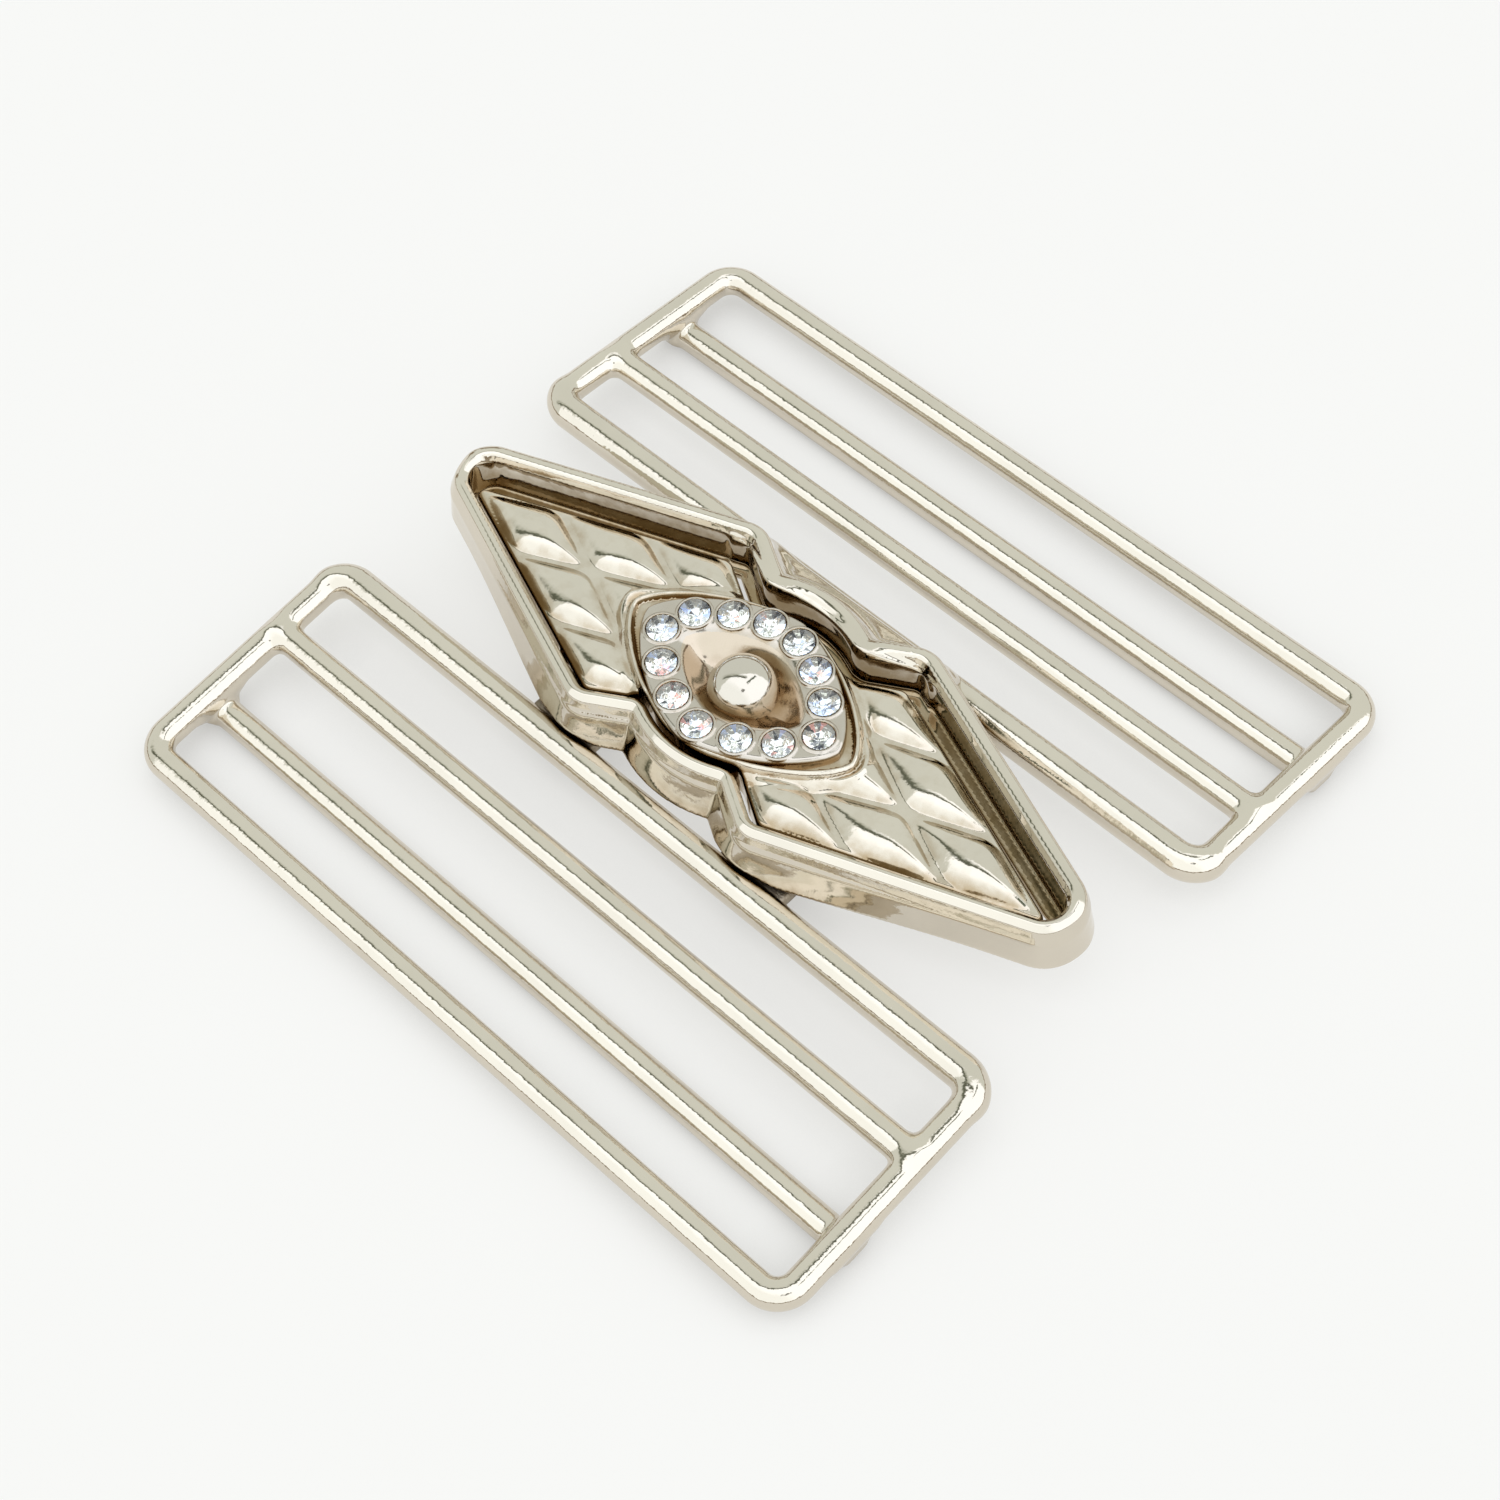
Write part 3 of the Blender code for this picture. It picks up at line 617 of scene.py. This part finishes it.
def setting_field(x, y, z):
    """Field of the eye setting: almond platform, bowl, stone seats and their bezels."""
    plan_x, plan_y = plan_of(x, y)
    outer = almond_distance(plan_x, plan_y - EYE_CENTRE_Y, *SETTING_OVAL, ALMOND_POWER)
    bowl = almond_distance(plan_x, plan_y - EYE_CENTRE_Y, *BOWL)
    share = np.clip(1 + bowl / BOWL_REACH, 0, 2)
    bowl_top = SETTING_TOP - BOWL_DEPTH * (1 - share ** BOWL_FLATNESS)
    body = cut(outer + 0 * z, z - SETTING_TOP, 0.45)
    body = cut(body, (z - bowl_top) * 0.6, BOWL_LIP)
    body = cut(body, SETTING_BOTTOM - z, 0.1)
    nearest = np.full(plan_x.shape, 1e9)
    for stone_x, stone_y in STONES:
        nearest = np.minimum(nearest, np.hypot(plan_x - stone_x, plan_y - stone_y))
    bezel = np.hypot(nearest - STONE_RADIUS - BEZEL_OUT, z - SETTING_TOP + 0.01)
    body = join(body, bezel - BEZEL_THICKNESS, BEZEL_THICKNESS)
    seat_side = nearest - STONE_RADIUS - SEAT_GAP + 0 * z
    seat = cut(seat_side, SETTING_TOP - SEAT_DEPTH - z, 0.1)
    return cut(body, -seat, 0.06)


def lathe(profile, sides):
    """Vertices and faces of a closed solid turned about Z, from (radius, height) pairs."""
    turns = 2 * np.pi * np.arange(sides) / sides
    vertices = []
    for radius, height in profile:
        ring = (radius * np.cos(turns), radius * np.sin(turns), np.full(sides, height))
        vertices.extend(np.stack(ring, 1))
    faces = []
    for level in range(len(profile) - 1):
        for index in range(sides):
            ahead = (index + 1) % sides
            start = level * sides
            over = start + sides
            faces.append((start + index, start + ahead, over + ahead, over + index))
    vertices.append(np.array((0, 0, profile[0][1])))
    vertices.append(np.array((0, 0, profile[-1][1])))
    last = (len(profile) - 1) * sides
    for index in range(sides):
        ahead = (index + 1) % sides
        faces.append((len(vertices) - 2, ahead, index))
        faces.append((len(vertices) - 1, last + index, last + ahead))
    return np.array(vertices), faces


def cut_stone():
    """A round brilliant chaton about its girdle: vertices, faces and whether each is foiled."""

    def ring(count, start, radius, height):
        turns = 2 * math.pi * (np.arange(count) + start) / count
        return [(radius * math.cos(a), radius * math.sin(a), height) for a in turns]

    table = ring(8, 0.0, TABLE_RADIUS, TABLE_HEIGHT)
    middle = ring(8, 0.5, CROWN_RADIUS, CROWN_HEIGHT)
    girdle_top = ring(16, 0.0, STONE_RADIUS, GIRDLE_HEIGHT)
    girdle = ring(16, 0.0, STONE_RADIUS, 0.0)
    keel = ring(8, 0.0, KEEL_RADIUS, -KEEL_DEPTH)
    vertices = table + middle + girdle_top + girdle + keel + [(0.0, 0.0, -CULET_DEPTH)]
    t, m, g, b, k, culet = 0, 8, 16, 32, 48, 56
    faces = [tuple(range(8))]
    foiled = [False]
    for i in range(8):
        j = (i + 1) % 8
        crown = [
            (t + i, m + i, t + j),
            (t + i, m + (i - 1) % 8, g + 2 * i, m + i),
            (m + i, g + 2 * i, g + 2 * i + 1),
            (m + i, g + 2 * i + 1, g + 2 * j),
            (g + 2 * i, b + 2 * i, b + 2 * i + 1, g + 2 * i + 1),
            (g + 2 * i + 1, b + 2 * i + 1, b + 2 * j, g + 2 * j),
        ]
        pavilion = [
            (k + i, b + 2 * i + 1, b + 2 * i),
            (k + i, k + j, b + 2 * i + 1),
            (k + j, b + 2 * j, b + 2 * i + 1),
            (k + j, k + i, culet),
        ]
        faces += crown + pavilion
        foiled += [False] * len(crown) + [True] * len(pavilion)
    return np.array(vertices), faces, foiled


# ---------------------------------------------------------------------------------------
# Materials


class Nodes:
    """A material's node tree, with short ways to add nodes. Coordinates are in millimetres."""

    def __init__(self, name):
        self.material = bpy.data.materials.new(name)
        self.material.use_nodes = True
        self.tree = self.material.node_tree
        self.shader = self.tree.nodes["Principled BSDF"]
        coordinates = self.tree.nodes.new("ShaderNodeTexCoord")
        scaled = self.tree.nodes.new("ShaderNodeVectorMath")
        scaled.operation = "SCALE"
        scaled.inputs["Scale"].default_value = 1 / MM
        self.tree.links.new(coordinates.outputs["Object"], scaled.inputs[0])
        self.place = scaled.outputs[0]

    def put(self, socket, value):
        if isinstance(value, bpy.types.NodeSocket):
            self.tree.links.new(value, socket)
        else:
            socket.default_value = value

    def noise(self, per_mm, detail=2.0, rough=0.5, place=None):
        node = self.tree.nodes.new("ShaderNodeTexNoise")
        node.inputs["Scale"].default_value = per_mm
        node.inputs["Detail"].default_value = detail
        node.inputs["Roughness"].default_value = rough
        self.tree.links.new(place or self.place, node.inputs["Vector"])
        return node.outputs["Fac"]

    def across(self, share_x, share_y):
        """Places measured across four mirrored walls, and hardly at all along them."""
        split = self.tree.nodes.new("ShaderNodeSeparateXYZ")
        self.tree.links.new(self.place, split.inputs[0])
        x, y, z = split.outputs
        out = self.math(
            "ADD",
            self.math("MULTIPLY", self.math("ABSOLUTE", x, 0.0), share_x),
            self.math("MULTIPLY", self.math("ABSOLUTE", y, 0.0), share_y),
        )
        joined = self.tree.nodes.new("ShaderNodeCombineXYZ")
        self.tree.links.new(out, joined.inputs[0])
        self.tree.links.new(self.math("MULTIPLY", x, 0.06), joined.inputs[1])
        self.tree.links.new(z, joined.inputs[2])
        return joined.outputs[0]

    def spots(self, per_mm):
        node = self.tree.nodes.new("ShaderNodeTexVoronoi")
        node.inputs["Scale"].default_value = per_mm
        self.tree.links.new(self.place, node.inputs["Vector"])
        return node.outputs["Distance"]

    def span(self, value, from_low, from_high, to_low, to_high):
        node = self.tree.nodes.new("ShaderNodeMapRange")
        node.interpolation_type = "SMOOTHSTEP"
        for label, number in (
            ("From Min", from_low),
            ("From Max", from_high),
            ("To Min", to_low),
            ("To Max", to_high),
        ):
            node.inputs[label].default_value = number
        self.tree.links.new(value, node.inputs["Value"])
        return node.outputs["Result"]

    def math(self, operation, first, second):
        node = self.tree.nodes.new("ShaderNodeMath")
        node.operation = operation
        self.put(node.inputs[0], first)
        self.put(node.inputs[1], second)
        return node.outputs[0]

    def blend(self, factor, first, second):
        node = self.tree.nodes.new("ShaderNodeMix")
        node.data_type = "RGBA"
        self.put(node.inputs["Factor"], factor)
        for label, value in (("A", first), ("B", second)):
            socket = [s for s in node.inputs if s.name == label and s.type == "RGBA"][0]
            self.put(socket, (*value, 1) if isinstance(value, tuple) else value)
        return [s for s in node.outputs if s.type == "RGBA"][0]

    def openness(self, distance):
        node = self.tree.nodes.new("ShaderNodeAmbientOcclusion")
        node.samples = 8
        node.inputs["Distance"].default_value = distance * MM
        return node.outputs["AO"]

    def bump(self, height, micrometres, normal=None):
        node = self.tree.nodes.new("ShaderNodeBump")
        node.inputs["Strength"].default_value = 1.0
        node.inputs["Distance"].default_value = micrometres * 1e-6
        self.tree.links.new(height, node.inputs["Height"])
        if normal:
            self.tree.links.new(normal, node.inputs["Normal"])
        return node.outputs["Normal"]

    def set(self, label, value):
        self.put(self.shader.inputs[label], value)


def nickel(name, colour, shade_and_tarnish_colour, rough, heights, reach=2.2, onset=0.97, streak=0.0):
    """Bright nickel plate on a cast body: wavy, a little dull in patches, brown in corners from
    painted shade and tarnish.
    """
    nodes = Nodes(name)
    patches = nodes.noise(0.16, 3.0, 0.6)
    clean = nodes.blend(
        nodes.span(patches, 0.35, 0.7, 0.0, 0.5), colour, tuple(0.9 * c for c in colour)
    )
    # Painted shade, partly tarnish too: ambient occlusion with a little noise blends corners
    # and recesses toward the brown colour given for them.
    depth = nodes.openness(reach)
    shade_and_tarnish = nodes.math("ADD", depth, nodes.span(nodes.noise(0.9, 3.0), 0.3, 0.7, -0.08, 0.08))
    shade_and_tarnish_share = nodes.span(shade_and_tarnish, onset - 0.5, onset, 1.0, 0.0)
    nodes.set("Base Color", nodes.blend(shade_and_tarnish_share, clean, shade_and_tarnish_colour))
    nodes.set("Metallic", 1.0)
    haze = nodes.span(nodes.noise(0.5, 4.0, 0.65), 0.45, 0.8, rough, rough + 0.07)
    specks = nodes.span(nodes.spots(1.1), 0.0, 0.09, 0.12, 0.0)
    nodes.set("Roughness", nodes.math("ADD", haze, specks))
    wave, ripple, grain = heights
    waves = nodes.bump(nodes.noise(0.32, 1.0), wave)
    if streak:
        lines = nodes.noise(1.1, 0.0, 0.5, nodes.across(*WALL_SLOPE))
        waves = nodes.bump(lines, streak, waves)
    ripples = nodes.bump(nodes.noise(1.5, 2.0), ripple, waves)
    fine = nodes.bump(nodes.noise(4.5, 3.0, 0.6), grain, ripples)
    pits = nodes.bump(nodes.span(nodes.spots(0.9), 0.02, 0.07, 0.0, 1.0), grain, fine)
    nodes.set("Normal", pits)
    return nodes.material


def shaded_raw_casting():
    """Dull brown as-cast metal under the thin plate of the hook legs, made darker as painted
    shade under the rim.
    """
    nodes = Nodes("shaded_raw_casting")
    patches = nodes.span(nodes.noise(0.8, 4.0, 0.6), 0.35, 0.7, 0.0, 1.0)
    # Painted shade: the brown is this dark partly because the legs sit in shade under the rim.
    nodes.set("Base Color", nodes.blend(patches, (0.20, 0.16, 0.11), (0.40, 0.34, 0.26)))
    nodes.set("Metallic", 1.0)
    nodes.set("Roughness", nodes.span(nodes.noise(1.4, 3.0), 0.3, 0.7, 0.3, 0.5))
    nodes.set("Normal", nodes.bump(nodes.noise(3.0, 4.0, 0.65), 90.0))
    return nodes.material


def crystal():
    """Clear lead glass with the faintest unevenness."""
    nodes = Nodes("clear_crystal")
    cloud = nodes.noise(0.8, 2.0)
    nodes.set("Base Color", nodes.blend(cloud, (1.0, 1.0, 1.0), (0.98, 0.99, 0.99)))
    nodes.set("Roughness", nodes.span(nodes.noise(2.0, 3.0), 0.5, 0.8, 0.0, 0.03))
    nodes.set("IOR", 1.58)
    nodes.set("Transmission Weight", 1.0)
    nodes.set("Normal", nodes.bump(nodes.noise(1.2, 2.0), 1.5))
    return nodes.material


def foil(name, colour, glow):
    """Silvering behind a stone, with a painted glow in its colour that stands in for the light
    it gathers.
    """
    nodes = Nodes(name)
    cloud = nodes.noise(1.6, 3.0)
    dull = tuple(0.85 * c for c in colour)
    nodes.set("Base Color", nodes.blend(nodes.span(cloud, 0.4, 0.7, 0.0, 0.6), colour, dull))
    nodes.set("Metallic", 1.0)
    nodes.set("Roughness", nodes.span(nodes.noise(3.0, 2.0), 0.3, 0.7, 0.02, 0.07))
    nodes.set("Normal", nodes.bump(nodes.noise(2.5, 2.0), 3.0))
    # Painted light: the foil glows though it is no lamp.
    nodes.set("Emission Color", (*colour, 1))
    nodes.set("Emission Strength", glow)
    return nodes.material


def floor_material():
    """A lit white table, which keeps the shadows faint, with painted contact shadow where
    ambient occlusion dims its glow.
    """
    nodes = Nodes("studio_floor")
    grain = nodes.noise(0.05, 3.0)
    nodes.set("Base Color", nodes.blend(grain, (0.29, 0.278, 0.262), (0.285, 0.273, 0.257)))
    nodes.set("Roughness", nodes.span(grain, 0.0, 1.0, 0.85, 0.95))
    nodes.set("Specular IOR Level", 0.0)
    nodes.set("Emission Color", (0.995, 1.0, 0.985, 1))
    # Painted contact shadow: ambient occlusion turns the floor's glow down near the clasp.
    painted_contact_shadow = nodes.span(nodes.openness(5.0), 0.25, 0.85, 0.42, 0.595)
    nodes.set("Emission Strength", painted_contact_shadow)
    return nodes.material


NICKEL_COLOUR = (0.70, 0.64, 0.54)
WALL_SLOPE = (0.35, 0.937)
# The second colour given to each nickel is the brown of its painted shade and tarnish in
# corners.
FRAME_NICKEL = nickel(
    "frame_nickel", NICKEL_COLOUR, (0.40, 0.31, 0.19), 0.05, (26.0, 22.0, 5.0), 2.2, 0.75
)
RIM_NICKEL = nickel(
    "rim_nickel", NICKEL_COLOUR, (0.30, 0.22, 0.12), 0.05, (20.0, 6.0, 1.2), 2.6, 0.9, 22.0
)
INSERT_NICKEL = nickel(
    "insert_nickel", NICKEL_COLOUR, (0.40, 0.30, 0.18), 0.06, (34.0, 14.0, 2.0), 1.6, 1.02
)
EYE_NICKEL = nickel(
    "eye_nickel", (0.58, 0.53, 0.46), (0.42, 0.32, 0.20), 0.12, (14.0, 8.0, 4.0), 2.2, 0.98
)
PUPIL_NICKEL = nickel(
    "pupil_nickel", (0.64, 0.59, 0.51), (0.42, 0.32, 0.20), 0.07, (24.0, 12.0, 2.0), 1.6, 0.9
)
# The bowl's nickel is darker and browner than the rest as painted shade and reflection inside
# the recess; its higher roughness is duller plating.
BOWL_SHADED_NICKEL = nickel(
    "bowl_shaded_nickel", (0.60, 0.51, 0.40), (0.34, 0.25, 0.16), 0.12, (34.0, 10.0, 3.0), 2.2, 0.7
)
SHADED_RAW = shaded_raw_casting()
CRYSTAL = crystal()
FOILS = [
    foil("foil_bright", (0.88, 0.89, 0.85), 0.15),
    foil("foil_grey", (0.50, 0.51, 0.52), 0.08),
    foil("foil_dark", (0.16, 0.17, 0.19), 0.05),
    foil("foil_blue", (0.60, 0.72, 1.0), 0.35),
    foil("foil_rose", (1.0, 0.55, 0.50), 0.35),
]
FOIL_SHARES = (0.68, 0.16, 0.06, 0.06, 0.04)

# ---------------------------------------------------------------------------------------
# Pieces. Each surface is searched for between two corners, in cells of about CELL.

CELL = 0.18

for letter, side, body in (("a", 1, "receiver_half"), ("b", -1, "hook_half")):
    y_range = sorted((side * (INNER_BAR_Y - 1.8), side * (INNER_BAR_Y + 20.8)))
    field_piece(
        f"slider_frame_{letter}_cast",
        slider_field(side),
        (-33.3, y_range[0], -LIFT - 0.5),
        (33.3, y_range[1], 1.8),
        (CELL * 2.0, CELL * 1.1, CELL),
        [FRAME_NICKEL],
        body,
        [f"slider_frame_{letter}"],
    )
field_piece(
    "receiver_rim_cast",
    rim_field,
    (-35.5, -11.5, -1.2),
    (35.5, 13.0, 5.4),
    CELL,
    [RIM_NICKEL],
    "receiver_half",
    ["receiver_rim"],
)
field_piece(
    "quilted_insert_cast",
    insert_field,
    (-28.5, -10.6, -1.2),
    (28.5, 7.6, 6.2),
    (CELL, CELL * 0.8, CELL * 0.8),
    [INSERT_NICKEL, SHADED_RAW],
    "hook_half",
    ["quilted_insert"],
    # Low leg faces on the hook side get the dark raw casting, partly painted shade under the
    # rim.
    lambda x, y, z: (z < SHADED_RAW_TOP) & (y < SHADED_RAW_INNER_Y),
)
field_piece(
    "eye_setting_cast",
    setting_field,
    (-9.8, -7.3, 2.6),
    (9.8, 6.6, 5.7),
    CELL * 0.55,
    [EYE_NICKEL, BOWL_SHADED_NICKEL],
    "hook_half",
    ["eye_setting"],
    lambda x, y, z: (almond_distance(x, y - EYE_CENTRE_Y, *BOWL) < -0.1) & (z < 5.1),
)

quarter = np.linspace(0, np.pi / 2, 25)[:-1]
dome = [(PUPIL_RADIUS * math.cos(a), PUPIL_BASE + PUPIL_HEIGHT * math.sin(a)) for a in quarter]
profile = [(PUPIL_RADIUS, PUPIL_BASE - PUPIL_FOOT)] + dome
pupil_vertices, pupil_faces = lathe(profile, 72)
away = pupil_vertices - (0, 0, PUPIL_BASE)
away[:, 2] = np.maximum(away[:, 2], 0) * (PUPIL_RADIUS / PUPIL_HEIGHT) ** 2
away[-2] = (0, 0, -1)
pupil_normals = away / np.linalg.norm(away, axis=1)[:, None]
pupil_vertices += (*box_centre("pupil_dome"), LIFT)
mesh_piece(
    "pupil_dome_cast",
    pupil_vertices,
    pupil_faces,
    [PUPIL_NICKEL],
    "hook_half",
    ["pupil_dome"],
    pupil_normals,
)

rng = np.random.default_rng(5)
for number, (stone_x, stone_y) in enumerate(STONES, 1):
    vertices, faces, foiled = cut_stone()
    turned = []
    for face in faces:
        ring = vertices[list(face)]
        normal = np.cross(ring[1] - ring[0], ring[2] - ring[0])
        outward = normal @ (ring.mean(0) - (0, 0, -0.1)) > 0
        turned.append(face if outward else face[::-1])
    spin = Matrix.Rotation(rng.uniform(0, math.pi / 4), 3, "Z")
    nod = Matrix.Rotation(rng.normal(0, 0.03), 3, "X")
    sway = Matrix.Rotation(rng.normal(0, 0.03), 3, "Y")
    placed = vertices @ np.array((nod @ sway @ spin).transposed())
    placed += (stone_x, stone_y, SETTING_TOP + LIFT)
    slots = [1 + int(rng.choice(len(FOILS), p=FOIL_SHARES)) if f else 0 for f in foiled]
    mesh_piece(
        f"rhinestone_{number:02d}_cut",
        placed,
        turned,
        [CRYSTAL, *FOILS],
        "hook_half",
        [f"rhinestone_{number:02d}"],
        slots=slots,
    )

# ---------------------------------------------------------------------------------------
# Studio

HALF_FLOOR = 1.5
floor_mesh = bpy.data.meshes.new("studio_floor")
floor_signs = ((-1, -1), (1, -1), (1, 1), (-1, 1))
floor_corners = [(x * HALF_FLOOR, y * HALF_FLOOR, 0) for x, y in floor_signs]
floor_mesh.from_pydata(floor_corners, [], [(0, 1, 2, 3)])
floor_mesh.materials.append(floor_material())
floor = bpy.data.objects.new("studio_floor", floor_mesh)
bpy.context.scene.collection.objects.link(floor)

PANEL_NORMAL = (0.789, -0.533, 0.305)
SEAM_NORMAL = (-0.497, 0.859, -0.121)
CAMERA_SIDE = (0.43, -0.36, 0.83)
SURROUND = (0.88, 0.93, 0.90)
PANEL = (1.60, 1.68, 1.80)
PANEL_EDGE = (1.38, 1.46, 1.52)
SIDE_LINE_NORMAL = (0.948, 0.0, -0.319)
SIDE_LINE_MIDDLE = (0.298, 0.360, 0.886)
SHADE = (0.42, 0.45, 0.38)
SEAM = (0.15, 0.17, 0.13)
SIDE_LINE = (0.16, 0.20, 0.15)
HORIZON = (0.34, 0.28, 0.20)
CAMERA_BODY = (0.30, 0.31, 0.30)


def studio_world():
    """Pale surroundings, a large white panel, the dark gaps beside it, and the camera."""
    world = bpy.data.worlds.new("studio")
    world.use_nodes = True
    tree = world.node_tree
    place = tree.nodes.new("ShaderNodeTexCoord").outputs["Generated"]

    def along(direction):
        node = tree.nodes.new("ShaderNodeVectorMath")
        node.operation = "DOT_PRODUCT"
        node.inputs[1].default_value = Vector(direction).normalized()
        tree.links.new(place, node.inputs[0])
        return node.outputs["Value"]

    def edge(value, low, high):
        node = tree.nodes.new("ShaderNodeMapRange")
        node.interpolation_type = "SMOOTHSTEP"
        node.inputs["From Min"].default_value = low
        node.inputs["From Max"].default_value = high
        tree.links.new(value, node.inputs["Value"])
        return node.outputs["Result"]

    def mix(factor, first, second):
        node = tree.nodes.new("ShaderNodeMix")
        node.data_type = "RGBA"
        tree.links.new(factor, node.inputs["Factor"])
        colours = [s for s in node.inputs if s.type == "RGBA"]
        for socket, value in zip(colours, (first, second)):
            if isinstance(value, tuple):
                socket.default_value = (*value, 1)
            else:
                tree.links.new(value, socket)
        return [s for s in node.outputs if s.type == "RGBA"][0]

    def times(first, second):
        node = tree.nodes.new("ShaderNodeMath")
        node.operation = "MULTIPLY"
        tree.links.new(first, node.inputs[0])
        tree.links.new(second, node.inputs[1])
        return node.outputs[0]

    panel = edge(along(PANEL_NORMAL), -0.02, 0.03)
    white = mix(edge(along((0, 1, 0)), -0.25, -0.6), PANEL, PANEL_EDGE)
    colour = mix(panel, SURROUND, white)
    line = along(SIDE_LINE_NORMAL)
    overhead = times(edge(along((0, 0, 1)), 0.45, 0.65), edge(line, -0.15, -0.30))
    seam = along(SEAM_NORMAL)
    shade = times(edge(seam, -0.06, -0.02), edge(seam, 0.26, 0.02))
    colour = mix(times(times(shade, shade), overhead), colour, SHADE)
    core = times(edge(seam, -0.06, -0.02), edge(seam, 0.09, 0.02))
    colour = mix(times(core, overhead), colour, SEAM)
    line = times(edge(line, -0.055, -0.035), edge(line, 0.055, 0.035))
    line = times(line, edge(along(SIDE_LINE_MIDDLE), 0.94, 0.955))
    colour = mix(line, colour, SIDE_LINE)
    height = along((0, 0, 1))
    horizon = times(edge(height, 0.0, 0.02), edge(height, 0.13, 0.09))
    colour = mix(horizon, colour, HORIZON)
    colour = mix(edge(along(CAMERA_SIDE), 0.994, 0.998), colour, CAMERA_BODY)
    tree.links.new(colour, tree.nodes["Background"].inputs["Color"])
    bpy.context.scene.world = world


studio_world()

CAMERA_PLACE = (0.08734, -0.07407, 0.17007 + LIFT * MM)
CAMERA_TILT = math.radians(33.093)
CAMERA_ROLL = math.radians(3.806)
CAMERA_TURN = math.radians(44.049)
camera_data = bpy.data.cameras.new("camera")
camera_data.lens = 69.32
camera_data.sensor_width = 36.0
camera_data.clip_start = 0.01
camera = bpy.data.objects.new("camera", camera_data)
turn = Euler((CAMERA_TILT, CAMERA_ROLL, CAMERA_TURN)).to_matrix()
camera.matrix_world = Matrix.Translation(CAMERA_PLACE) @ turn.to_4x4()
bpy.context.scene.collection.objects.link(camera)
bpy.context.scene.camera = camera
bpy.context.scene.view_settings.view_transform = "Standard"
